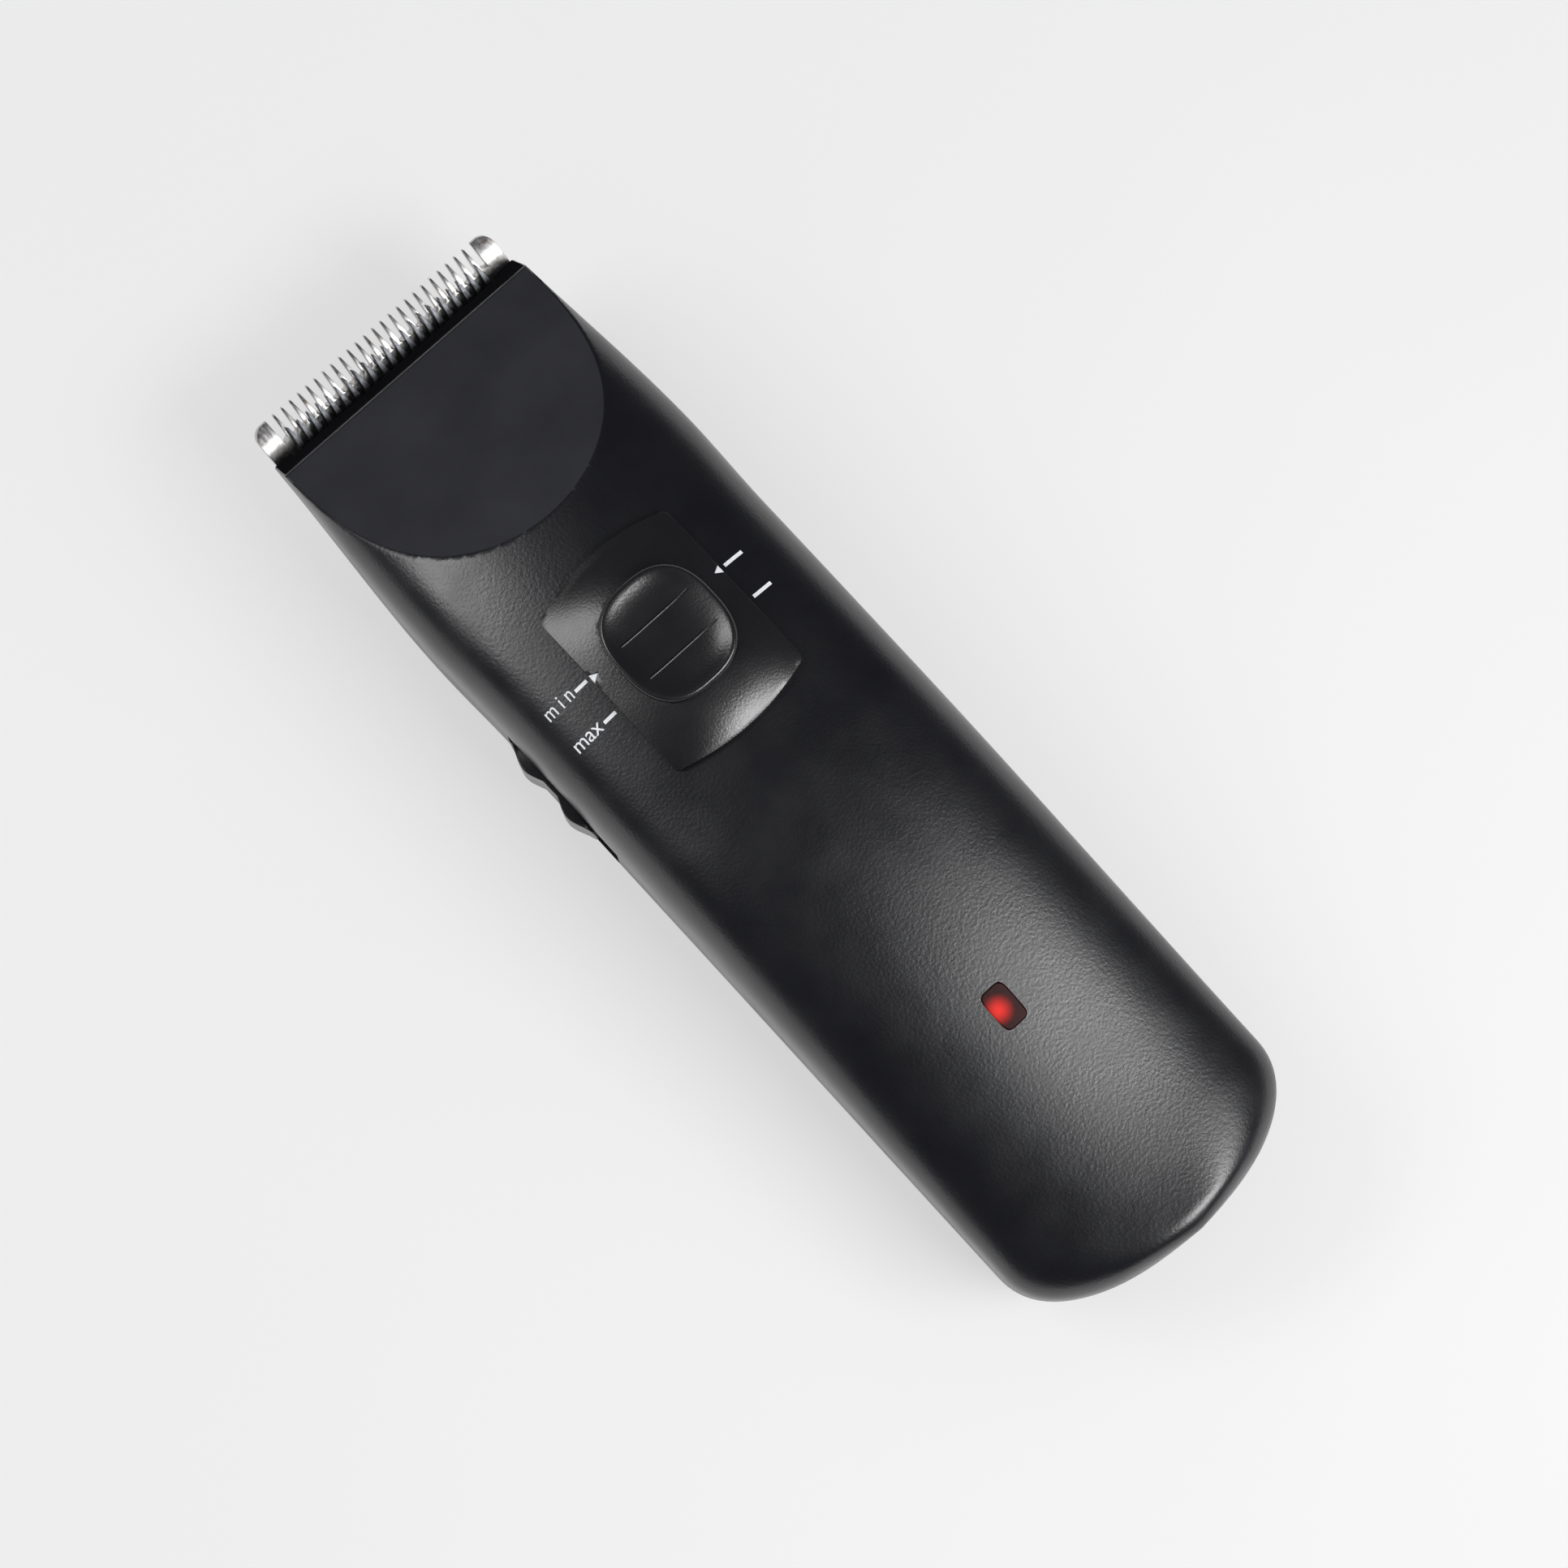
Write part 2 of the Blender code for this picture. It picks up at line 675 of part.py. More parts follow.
def post_edge(root_y):
    """Right-hand end post of the comb, from its outer side to its inner root, with a rounded corner."""
    half = 0.5 * COMB_WIDTH
    points = []
    for index in range(CORNER_STEPS + 1):
        angle = 0.5 * HALF_TURN * index / CORNER_STEPS
        points.append((half - POST_ROUND + POST_ROUND * math.cos(angle),
                       COMB_LENGTH - POST_ROUND + POST_ROUND * math.sin(angle)))
    points.append((half - POST_WIDTH, COMB_LENGTH))
    points.append((half - POST_WIDTH, root_y))
    return points


def blade_screw_y():
    return 0.5 * (BASE_BAR_REAR + BASE_BAR_FRONT)


def comb_blade():
    root_y = COMB_LENGTH - COMB_TOOTH_LENGTH
    rear = 0.5 * COMB_REAR_WIDTH
    right = post_edge(root_y)
    left = [(-x, y) for x, y in reversed(right)]
    teeth = toothed_edge(COMB_TEETH, COMB_PITCH_X, root_y, COMB_LENGTH, COMB_TOOTH_ROOT, COMB_TOOTH_TIP)
    shoulder_y = 0.5 * COMB_LENGTH
    outline = [(-rear, 0.0), (rear, 0.0), (0.5 * COMB_WIDTH, shoulder_y)] + right + teeth + left
    outline.append((-0.5 * COMB_WIDTH, shoulder_y))
    comb = prism("comb_blade", [(x, y, 0.0) for x, y in outline], (0.0, 0.0, COMB_THICK))
    slope = (0.0, COMB_THICK - COMB_TIP_THICK, COMB_TOOTH_LENGTH)
    cut(comb, half_space("taper", (0.0, root_y, COMB_THICK), slope))
    for side in (-1.0, 1.0):
        x = side * BLADE_SCREW_X
        y = blade_screw_y()
        sink = BLADE_SCREW_HEAD_T + GAP
        cut(comb, rod("sink", BLADE_SCREW_HEAD_R + GAP, (x, y, -COMB_THICK), (x, y, sink), SMALL_ROUND_POINTS))
        cut(comb, rod("hole", BLADE_SCREW_R + GAP, (x, y, -COMB_THICK), (x, y, 2.0 * COMB_THICK),
                      SMALL_ROUND_POINTS))
    return to_head(comb)


def blade_screw(name, x):
    """Screw from the comb's underside into the blade base."""
    end = CUTTER_Z + BLADE_SCREW_DEPTH
    profile = [(0.0, 0.0), (BLADE_SCREW_HEAD_R, 0.0), (BLADE_SCREW_HEAD_R, BLADE_SCREW_HEAD_T),
               (BLADE_SCREW_R, BLADE_SCREW_HEAD_T), (BLADE_SCREW_R, end), (0.0, end)]
    screw = lathe(name, profile, SMALL_ROUND_POINTS)
    place = Matrix.Translation((x, blade_screw_y(), 0.0))
    screw.data.transform(place @ Matrix.Rotation(0.5 * HALF_TURN, 4, "X"))
    return to_head(screw)


def blade_base():
    """U-shaped frame on the comb, with two hooks that reach over the housing's edge."""
    wide = 0.5 * BASE_WIDTH
    narrow = wide - BASE_ARM
    outline = [(-wide, BASE_BAR_REAR), (wide, BASE_BAR_REAR), (wide, BASE_ARM_FRONT),
               (narrow, BASE_ARM_FRONT), (narrow, BASE_BAR_FRONT), (-narrow, BASE_BAR_FRONT),
               (-narrow, BASE_ARM_FRONT), (-wide, BASE_ARM_FRONT)]
    base = prism("blade_base", [(x, y, CUTTER_Z) for x, y in outline], (0.0, 0.0, BASE_HEIGHT))
    low = CUTTER_Z + HOOK_LIFT
    for side in (-1.0, 1.0):
        x = side * HOOK_X
        hook = box("hook", (x - 0.5 * HOOK_WIDTH, -HOOK_REACH, low),
                   (x + 0.5 * HOOK_WIDTH, blade_screw_y(), low + HOOK_THICK))
        unite(base, hook)
    for side in (-1.0, 1.0):
        x = side * BLADE_SCREW_X
        y = blade_screw_y()
        deep = CUTTER_Z + BLADE_SCREW_DEPTH + GAP
        cut(base, rod("hole", BLADE_SCREW_R + GAP, (x, y, 0.0), (x, y, deep), SMALL_ROUND_POINTS))
    return to_head(base)


def cutter_carriage():
    """Guide between the base's arms, with a lip over the cutter's rear edge."""
    half = 0.5 * CARRIAGE_WIDTH
    profile = [(CARRIAGE_REAR, CUTTER_Z), (CARRIAGE_FRONT, CUTTER_Z), (CARRIAGE_FRONT, CUTTER_TOP + GAP),
               (CUTTER_REAR + CARRIAGE_LIP, CUTTER_TOP + GAP), (CUTTER_REAR + CARRIAGE_LIP, CARRIAGE_TOP),
               (CARRIAGE_REAR, CARRIAGE_TOP)]
    outline = [(-half, y, z) for y, z in profile]
    return to_head(prism("cutter_carriage", outline, (2.0 * half, 0.0, 0.0)))


def cutter_spring():
    """Leaf spring on the carriage whose two fingers press on the cutter."""
    low = CARRIAGE_TOP + GAP
    rear = CARRIAGE_REAR + GAP
    bend = CUTTER_REAR + CARRIAGE_LIP
    tip = bend + SPRING_REACH
    middle = 0.5 * (rear + CARRIAGE_FRONT)
    touch = CUTTER_TOP + GAP
    profile = [(rear, low), (bend, low), (tip, touch), (tip, touch + SPRING_THICK),
               (bend, low + SPRING_THICK), (rear, low + SPRING_THICK)]
    reach = SPRING_FINGER_X + 0.5 * SPRING_FINGER_WIDTH
    spring = box("cutter_spring", (-reach, rear, low), (reach, middle, low + SPRING_THICK))
    for side in (-1.0, 1.0):
        start = side * SPRING_FINGER_X - 0.5 * SPRING_FINGER_WIDTH
        finger = prism("finger", [(start, y, z) for y, z in profile], (SPRING_FINGER_WIDTH, 0.0, 0.0))
        unite(spring, finger)
    return to_head(spring)


def cutter_blade():
    root_y = CUTTER_TIP - CUTTER_TOOTH_LENGTH
    half = 0.5 * CUTTER_WIDTH
    teeth = toothed_edge(CUTTER_TEETH, CUTTER_PITCH_X, root_y, CUTTER_TIP, CUTTER_TOOTH_ROOT,
                         CUTTER_TOOTH_TIP)
    outline = [(-half, CUTTER_REAR), (half, CUTTER_REAR)] + teeth
    return to_head(prism("cutter_blade", [(x, y, CUTTER_Z) for x, y in outline], (0.0, 0.0, CUTTER_THICK)))


def drive_lever():
    """Arm from the cutter back to a fork round the drive pin. The slot leaves the pin free in every pose."""
    foot_rear = CUTTER_REAR + CARRIAGE_LIP + RUN_GAP
    foot_front = foot_rear + LEVER_FOOT
    foot_low = CUTTER_TOP + GAP
    fork_rear = ECCENTRIC_FRONT_Y + TAPER_SHIFT + RUN_GAP
    under = LEVER_ARM_TOP_Z - LEVER_ARM_HEIGHT
    knee = Vector((0.0, LEVER_KNEE_Y, under))
    points = [head_to_world(foot_rear, foot_low), head_to_world(foot_front, foot_low),
              head_to_world(foot_front, foot_low + LEVER_FOOT_HEIGHT),
              Vector((0.0, LEVER_KNEE_Y, LEVER_ARM_TOP_Z)), Vector((0.0, fork_rear, LEVER_ARM_TOP_Z)),
              Vector((0.0, fork_rear, under)), knee,
              head_to_world(foot_rear, foot_low + LEVER_RISE)]
    half = Vector((0.5 * LEVER_WIDTH, 0.0, 0.0))
    lever = prism("drive_lever", [point - half for point in points], 2.0 * half)
    web = PIN_FRONT_Y + TAPER_SHIFT + GAP
    slot = box("slot", (-0.5 * FORK_SLOT, -FAR, 0.0), (0.5 * FORK_SLOT, web, FAR))
    return cut(lever, slot)


def motor_can():
    bore = SHAFT_R + GAP
    deep = MOTOR_FRONT_Y - SHAFT_IN
    profile = [(0.0, MOTOR_REAR_Y), (MOTOR_R, MOTOR_REAR_Y), (MOTOR_R, MOTOR_FRONT_Y),
               (MOTOR_BOSS_R, MOTOR_FRONT_Y), (MOTOR_BOSS_R, BOSS_FRONT_Y), (bore, BOSS_FRONT_Y),
               (bore, deep), (0.0, deep)]
    return at_motor_axis(lathe("motor_can", profile, LARGE_ROUND_POINTS))


def at_motor_axis(obj):
    obj.location = (0.0, 0.0, MOTOR_Z)
    return obj


def motor_shaft():
    start = MOTOR_FRONT_Y - SHAFT_IN + GAP
    end = ECCENTRIC_REAR_Y + SHAFT_SEAT
    profile = [(0.0, start), (SHAFT_R, start), (SHAFT_R, end), (0.0, end)]
    return at_motor_axis(lathe("motor_shaft", profile, SMALL_ROUND_POINTS))


def eccentric():
    bore = SHAFT_R + GAP
    deep = ECCENTRIC_REAR_Y + SHAFT_SEAT + GAP
    profile = [(0.0, deep), (bore, deep), (bore, ECCENTRIC_REAR_Y), (ECCENTRIC_R, ECCENTRIC_REAR_Y),
               (ECCENTRIC_R, ECCENTRIC_FRONT_Y), (0.0, ECCENTRIC_FRONT_Y)]
    disc = lathe("eccentric", profile)
    inside = 0.5 * (deep + ECCENTRIC_FRONT_Y)
    unite(disc, rod("pin", PIN_R, (THROW, inside, 0.0), (THROW, PIN_FRONT_Y, 0.0), SMALL_ROUND_POINTS))
    return at_motor_axis(disc)


def slider_low(x, y):
    """Underside of the slider plate, clear of the crown at both ends of its travel."""
    return max(crown_z(x, y), crown_z(x, y - SLIDER_TRAVEL)) + GAP


def slider_high(x, y):
    return slider_low(x, y) + SLIDER_THICK


def length_slider():
    outline = bowed_rectangle(0.5 * SLIDER_WIDTH, 0.5 * SLIDER_LENGTH, SLIDER_BOW, SLIDER_CORNER)
    plate = patch("length_slider", outline, (0.0, SLIDER_Y), slider_low, slider_high, upright)
    half = 0.5 * STEM_SIZE
    stem = box("stem", (-half, SLIDER_Y - half, retainer_bottom()),
               (half, SLIDER_Y + half, slider_low(0.0, SLIDER_Y) + 0.5 * SLIDER_THICK))
    unite(plate, stem)
    for side in (-1.0, 1.0):
        edge = side * 0.5 * SLIDER_WIDTH
        notch = [(edge + side * WALL, NOTCH_Y - NOTCH_WIDTH, PARTING_Z),
                 (edge + side * WALL, NOTCH_Y + NOTCH_WIDTH, PARTING_Z),
                 (edge - side * NOTCH_DEPTH, NOTCH_Y, PARTING_Z)]
        cut(plate, prism("notch", notch, (0.0, 0.0, TOP_Z)))
    return plate


def pad_low(x, y):
    return slider_high(x, y) + GAP


def pad_high(x, y):
    along = (y - PAD_Y) / (0.5 * PAD_LENGTH)
    across = abs(x) / (0.5 * PAD_WIDTH)
    rounding = max(abs(along), across) ** PAD_EDGE_POWER
    return pad_low(x, y) + PAD_HEIGHT + PAD_DISH * (along * along - rounding)


def thumb_pad():
    outline = squircle(0.5 * PAD_WIDTH, 0.5 * PAD_LENGTH, PAD_CORNER_POWER)
    return patch("thumb_pad", outline, (0.0, PAD_Y), pad_low, pad_high, upright)


def retainer_bottom():
    return TOP_Z - WALL - RUN_GAP - RETAINER_DROP - RETAINER_THICK


def slider_retainer():
    """Ring round the stem under the shell."""
    low = retainer_bottom()
    half = 0.5 * RETAINER_SIZE
    hole = 0.5 * STEM_SIZE + GAP
    ring = box("slider_retainer", (-half, SLIDER_Y - half, low), (half, SLIDER_Y + half, low + RETAINER_THICK))
    return cut(ring, box("hole", (-hole, SLIDER_Y - hole, 0.0), (hole, SLIDER_Y + hole, FAR)))


def taper_link():
    """Flat bar under the retainer, with an arm down to the carriage's ramp."""
    high = retainer_bottom() - GAP
    low = high - LINK_THICK
    rear = SLIDER_Y - 0.5 * RETAINER_SIZE
    outer = LINK_ARM_X + LINK_ARM_WIDTH
    bar = box("taper_link", (-0.5 * LINK_WIDTH, rear, low), (outer, LINK_FRONT_Y, high))
    cut(bar, box("corner", (0.5 * LINK_WIDTH, -FAR, 0.0), (FAR, LINK_ARM_REAR_Y, FAR)))
    front = LINK_FRONT_Y - LINK_OVERLAP
    tip = head_to_world(CARRIAGE_REAR, CARRIAGE_TOP + GAP + SPRING_THICK + LINK_TIP_GAP)
    profile = [(LINK_ARM_REAR_Y, high - LINK_OVERLAP), (front, high - LINK_OVERLAP),
               (front, LEVER_ARM_TOP_Z + LINK_ARM_BAND), (tip.y, tip.z + LINK_TIP_BAND),
               (tip.y, tip.z), (LINK_ARM_REAR_Y, LEVER_ARM_TOP_Z + 0.5 * LINK_ARM_BAND)]
    inner = LINK_ARM_X - LINK_OVERLAP
    arm = prism("arm", [(inner, y, z) for y, z in profile], (LINK_ARM_WIDTH, 0.0, 0.0))
    return unite(bar, arm)


def knob_low(u, v):
    return 0.5 * BODY_WIDTH - WALL - SWITCH_INSIDE


def knob_high(u, v):
    along = abs(u - SWITCH_Y) / (0.5 * SWITCH_LENGTH)
    hump = math.sin(HALF_TURN * min(along, 1.0)) ** 2
    return 0.5 * BODY_WIDTH + SWITCH_PROUD + SWITCH_HUMP * hump


def switch_knob():
    outline = squircle(0.5 * SWITCH_LENGTH, 0.5 * SWITCH_HEIGHT, SWITCH_CORNER_POWER)
    centre = (SWITCH_Y, parting_z(SWITCH_Y))
    return patch("switch_knob", outline, centre, knob_low, knob_high, on_left_flank)


def carrier_face():
    return -(knob_low(0.0, 0.0) - GAP)


def switch_carrier():
    """Plate behind the slot that carries the knob and keeps the slot covered."""
    outside = carrier_face()
    middle = parting_z(SWITCH_Y)
    reach_z = 0.5 * SWITCH_HEIGHT + 0.5 * CARRIER_OVERLAP
    reach_y = 0.5 * SWITCH_LENGTH + CARRIER_OVERLAP
    return box("switch_carrier", (outside, SWITCH_Y - reach_y, middle - reach_z),
               (outside + CARRIER_THICK, SWITCH_Y + reach_y, middle + reach_z))


def switch_module():
    """Slide switch between the carrier and the motor."""
    start = carrier_face() + CARRIER_THICK + GAP
    end = -MOTOR_R - MODULE_CLEARANCE
    middle = parting_z(SWITCH_Y)
    return box("switch_module", (start, SWITCH_Y - 0.5 * MODULE_LENGTH, middle - 0.5 * MODULE_HEIGHT),
               (end, SWITCH_Y + 0.5 * MODULE_LENGTH, middle + 0.5 * MODULE_HEIGHT))


def battery_cell():
    profile = [(0.0, CELL_REAR_Y), (CELL_R, CELL_REAR_Y), (CELL_R, CELL_FRONT_Y), (0.0, CELL_FRONT_Y)]
    cell = lathe("battery_cell", profile)
    cell.location = (0.0, 0.0, CELL_Z)
    return cell


def battery_tab(name, start):
    half = 0.5 * TAB_SIZE
    return box(name, (-half, start, CELL_Z - half), (half, start + TAB_THICK, CELL_Z + half))


def end_wall_front():
    return CELL_FRONT_Y + TAB_THICK + 2.0 * GAP


def end_wall_rear():
    return CELL_REAR_Y - TAB_THICK - 2.0 * GAP


def chassis():
    """Floor plate with two motor saddles and two walls that hold the cell and carry the board."""
    half = 0.5 * CHASSIS_WIDTH
    inside = CHASSIS_Z + 0.5 * CHASSIS_THICK
    frame = box("chassis", (-half, end_wall_rear() - CHASSIS_WALL, CHASSIS_Z), (half, MOTOR_FRONT_Y, FLOOR_TOP))
    narrow = half - GAP
    for start in (end_wall_front(), end_wall_rear() - CHASSIS_WALL + GAP):
        wall = box("wall", (-narrow, start, inside), (narrow, start + CHASSIS_WALL - GAP, WALL_TOP))
        unite(frame, wall)
    for start in (MOTOR_REAR_Y + SADDLE_INSET, MOTOR_FRONT_Y - SADDLE_INSET - CHASSIS_WALL):
        reach = 0.5 * SADDLE_WIDTH
        saddle = box("saddle", (-reach, start, inside), (reach, start + CHASSIS_WALL, MOTOR_Z - 0.5 * MOTOR_R))
        unite(frame, saddle)
    axis_start = (0.0, MOTOR_REAR_Y - WALL, MOTOR_Z)
    axis_end = (0.0, MOTOR_FRONT_Y + WALL, MOTOR_Z)
    return cut(frame, rod("seat", MOTOR_R + GAP, axis_start, axis_end, LARGE_ROUND_POINTS))


def circuit_board():
    half = 0.5 * BOARD_WIDTH
    return box("circuit_board", (-half, end_wall_rear() - CHASSIS_WALL, BOARD_Z),
               (half, end_wall_front() + CHASSIS_WALL, BOARD_Z + BOARD_THICK))


def status_led():
    dome = [(0.0, 0.0), (LED_R, 0.0), (LED_R, LED_HEIGHT - LED_R)]
    for index in range(1, CORNER_STEPS):
        angle = 0.5 * HALF_TURN * index / CORNER_STEPS
        dome.append((LED_R * math.cos(angle), LED_HEIGHT - LED_R + LED_R * math.sin(angle)))
    dome.append((0.0, LED_HEIGHT))
    led = lathe("status_led", dome, SMALL_ROUND_POINTS)
    led.data.transform(Matrix.Rotation(0.5 * HALF_TURN, 4, "X"))
    led.location = (0.0, LED_Y, BOARD_Z + BOARD_THICK + GAP)
    return led


def lens_high(x, y):
    return crown_z(x, y)


def lens_low(x, y):
    return crown_z(x, y) - LENS_DEPTH


def led_lens():
    outline = squircle(0.5 * LENS_WIDTH, 0.5 * LENS_LENGTH, LENS_CORNER_POWER)
    return patch("led_lens", outline, (0.0, LED_Y), lens_low, lens_high, upright)


def charge_socket():
    middle = parting_z(REAR_Y)
    half = 0.5 * SOCKET_WIDTH
    rear = REAR_Y + WALL + RUN_GAP
    block = box("charge_socket", (-half, rear, middle - half), (half, rear + SOCKET_DEPTH, middle + half))
    return cut(block, rod("bore", SOCKET_BORE_R, socket_centre(REAR_Y), socket_centre(rear + SOCKET_BORE_DEPTH)))


def material(name, colour, roughness, metallic):
    finish = bpy.data.materials.new(name)
    finish.use_nodes = True
    shader = finish.node_tree.nodes["Principled BSDF"]
    shader.inputs["Base Color"].default_value = (*colour, 1.0)
    shader.inputs["Roughness"].default_value = roughness
    shader.inputs["Metallic"].default_value = metallic
    return finish


def empty(name, matrix):
    holder = bpy.data.objects.new(name, None)
    bpy.context.collection.objects.link(holder)
    holder.matrix_world = matrix
    return holder


def finish(obj, look, parent):
    """Give a piece its material and smooth round faces, and hang it on the empty it moves with."""
    obj.data.materials.clear()
    obj.data.materials.append(look)
    obj.data.shade_smooth()
    obj.data.set_sharp_from_angle(angle=SMOOTH_ANGLE)
    bpy.context.view_layer.update()
    place = obj.matrix_world.copy()
    obj.parent = parent
    obj.matrix_parent_inverse = parent.matrix_world.inverted()
    obj.matrix_world = place


def clear_scene():
    for obj in list(bpy.data.objects):
        bpy.data.objects.remove(obj)


def main():
    clear_scene()
    black = material("satin_black", (0.018, 0.018, 0.020), 0.45, 0.0)
    gloss = material("gloss_black", (0.012, 0.012, 0.013), 0.25, 0.0)
    steel = material("blade_steel", (0.62, 0.61, 0.58), 0.30, 1.0)
    grey = material("grey_plastic", (0.30, 0.30, 0.31), 0.50, 0.0)
    pale = material("natural_plastic", (0.75, 0.74, 0.70), 0.45, 0.0)
    green = material("board_green", (0.03, 0.16, 0.07), 0.50, 0.0)
    wrap = material("cell_wrap", (0.05, 0.18, 0.40), 0.40, 0.0)
    red = material("red_lens", (0.40, 0.02, 0.02), 0.20, 0.0)

    body = empty("body", Matrix.Identity(4))
    head = empty("blade_head", HEAD_FRAME)
    carriage = empty("taper_carriage", HEAD_FRAME)
    cutter = empty("cutter", HEAD_FRAME)
    rotor = empty("rotor", Matrix.Translation((0.0, BOSS_FRONT_Y, MOTOR_Z)))
    slider = empty("slider", Matrix.Translation((0.0, SLIDER_Y, TOP_Z)))
    switch = empty("switch", Matrix.Translation((-0.5 * BODY_WIDTH, SWITCH_Y, parting_z(SWITCH_Y))))

    housing = hollow_housing()
    finish(upper_shell(housing), black, body)
    finish(lower_shell(housing), black, body)
    bpy.data.objects.remove(housing)
    for index, (x, y) in enumerate(column_places(), start=1):
        finish(housing_screw(f"housing_screw_{index}", x, y), steel, body)
    finish(chassis(), grey, body)
    finish(motor_can(), steel, body)
    finish(battery_cell(), wrap, body)
    finish(battery_tab("battery_tab_front", CELL_FRONT_Y + GAP), steel, body)
    finish(battery_tab("battery_tab_rear", CELL_REAR_Y - GAP - TAB_THICK), steel, body)
    finish(circuit_board(), green, body)
    finish(status_led(), red, body)
    finish(led_lens(), red, body)
    finish(charge_socket(), gloss, body)
    finish(switch_module(), gloss, body)

    finish(motor_shaft(), steel, rotor)
    finish(eccentric(), pale, rotor)

    finish(length_slider(), black, slider)
    finish(thumb_pad(), gloss, slider)
    finish(slider_retainer(), grey, slider)
    finish(taper_link(), steel, slider)

    finish(switch_knob(), black, switch)
    finish(switch_carrier(), grey, switch)

    finish(comb_blade(), steel, head)
    finish(blade_base(), gloss, head)
    finish(blade_screw("blade_screw_left", -BLADE_SCREW_X), steel, head)
    finish(blade_screw("blade_screw_right", BLADE_SCREW_X), steel, head)
    finish(cutter_carriage(), pale, carriage)
    finish(cutter_spring(), steel, carriage)
    finish(cutter_blade(), steel, cutter)
    finish(drive_lever(), pale, cutter)


main()
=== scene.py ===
"""Looks of the cordless animal clipper: fine shells, printed marks, steel finishes, light and camera."""

import math

import bmesh
import bpy
from mathutils import Matrix, Vector


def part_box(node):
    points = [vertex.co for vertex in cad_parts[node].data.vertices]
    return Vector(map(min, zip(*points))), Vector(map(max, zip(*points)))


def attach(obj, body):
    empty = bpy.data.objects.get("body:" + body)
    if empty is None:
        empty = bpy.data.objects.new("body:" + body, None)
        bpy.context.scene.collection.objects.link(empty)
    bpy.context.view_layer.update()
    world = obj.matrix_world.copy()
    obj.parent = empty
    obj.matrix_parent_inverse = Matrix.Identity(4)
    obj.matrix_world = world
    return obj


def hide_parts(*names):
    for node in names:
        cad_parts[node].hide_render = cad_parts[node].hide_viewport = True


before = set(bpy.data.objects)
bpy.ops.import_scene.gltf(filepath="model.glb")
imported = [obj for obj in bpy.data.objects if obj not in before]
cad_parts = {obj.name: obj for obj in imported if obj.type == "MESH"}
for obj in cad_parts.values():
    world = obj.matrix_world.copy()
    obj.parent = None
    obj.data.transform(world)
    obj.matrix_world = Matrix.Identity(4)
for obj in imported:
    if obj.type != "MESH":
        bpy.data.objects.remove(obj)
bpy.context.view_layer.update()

HALF_TURN = math.pi

# Housing, in metres, as in the solids
GAP = 0.0003
RUN_GAP = 0.0005
WALL = 0.0022
BODY_WIDTH = 0.0500
SHOULDER_BULGE = 0.0004
SHOULDER_Y = 0.0060
REAR_Y = -0.1280
REAR_ROUND = 0.0140
REAR_ROUND_POWER = 2.2
REAR_END_SHARE = 0.9985
REAR_EDGE = 0.0030
TOP_Z = 0.0415
TOP_STRAIGHT_START_Y = -0.0280
TOP_STRAIGHT_END_Y = -0.0410
TOP_FRONT_FALL = 0.0058
REAR_TOP_Z = 0.0300
TOP_POWER = 6.0
TOP_SIDE_FALL = 0.0045
BOTTOM_POWER = 3.4
PARTING_Z = 0.0197
PARTING_SLOPE = 0.030
WAIST_RISE = 0.0030
WAIST_FRONT_Y = -0.0100
WAIST_REAR_Y = -0.1000
LAND_SINK = 0.0004
FACET_FRONT = Vector((0.0, 0.0409, 0.0268))
FACET_PITCH = math.radians(21.6)
NOSE_RAKE = math.radians(33.0)
FACET_EDGE = 0.00022
FLAT_MATCH = 0.99
COLUMN_X = 0.0120
COLUMN_R = 0.0031
COLUMN_FRONT_Y = -0.0420
COLUMN_REAR_Y = -0.1182
SCREW_SEAT = 0.0060

# Blade head
TIP_Y = 0.0500
TIP_Z = 0.0235
COMB_PITCH = math.radians(38.0)
COMB_LENGTH = 0.0280
COMB_WIDTH = 0.0460
COMB_REAR_WIDTH = 0.0300
COMB_THICK = 0.0018
COMB_TIP_THICK = 0.0007
COMB_TEETH = 24
COMB_END_GAP = 0.00104
COMB_INSET = 0.0004
COMB_TOOTH_LENGTH = 0.0042
COMB_TOOTH_ROOT = 0.0008
COMB_TOOTH_TIP = 0.00032
COMB_CURVE = (0.25, 0.5, 0.75)
POST_WIDTH = 0.0030
POST_ROUND = 0.0020
HEAD_SIDE_GAP = 0.0002
HEAD_SLOT_HEIGHT = 0.0040
CUTTER_TEETH = 21
CUTTER_INSET = 0.0040
THROW = 0.0012
TAPER_SHIFT = 0.0020
CUTTER_SETBACK = 0.0022
CUTTER_DEPTH = 0.0118
CUTTER_THICK = 0.0014
CUTTER_TOOTH_LENGTH = 0.0050
CUTTER_TOOTH_ROOT = 0.0014
CUTTER_TOOTH_TIP = 0.0003

# Controls on the housing
SLIDER_Y = -0.0174
SLIDER_LENGTH = 0.0330
SLIDER_WIDTH = 0.0240
SLIDER_EDGE = 0.0004
SLIDER_RISE = 0.0026
SLIDER_RISE_POWER = 3
SLIDER_SIDE_FALL = 0.6
SLIDER_TRAVEL = 0.0060
SLIDER_BOW = 0.0017
SLIDER_CORNER = 0.0012
STEM_SIZE = 0.0080
NOTCH_DEPTH = 0.0012
NOTCH_HALF_WIDTH = 0.0007
NOTCH_PLACES = {-1.0: -0.0142, 1.0: -0.0147}
MARK_SINK = 0.00012
PAD_Y = -0.0170
PAD_LENGTH = 0.0188
PAD_WIDTH = 0.0172
PAD_SEAT = 0.0018
PAD_SEAT_RIM = 0.8
PAD_HEIGHT = 0.0001
PAD_DISH = 0.0016
PAD_DISH_POWER = 1.5
PAD_ROUND = 0.0008
PAD_ROUND_POWER = 12
PAD_CORNER_POWER = 2.6
RIB_PLACES = {"front": 0.0029, "rear": -0.0031}
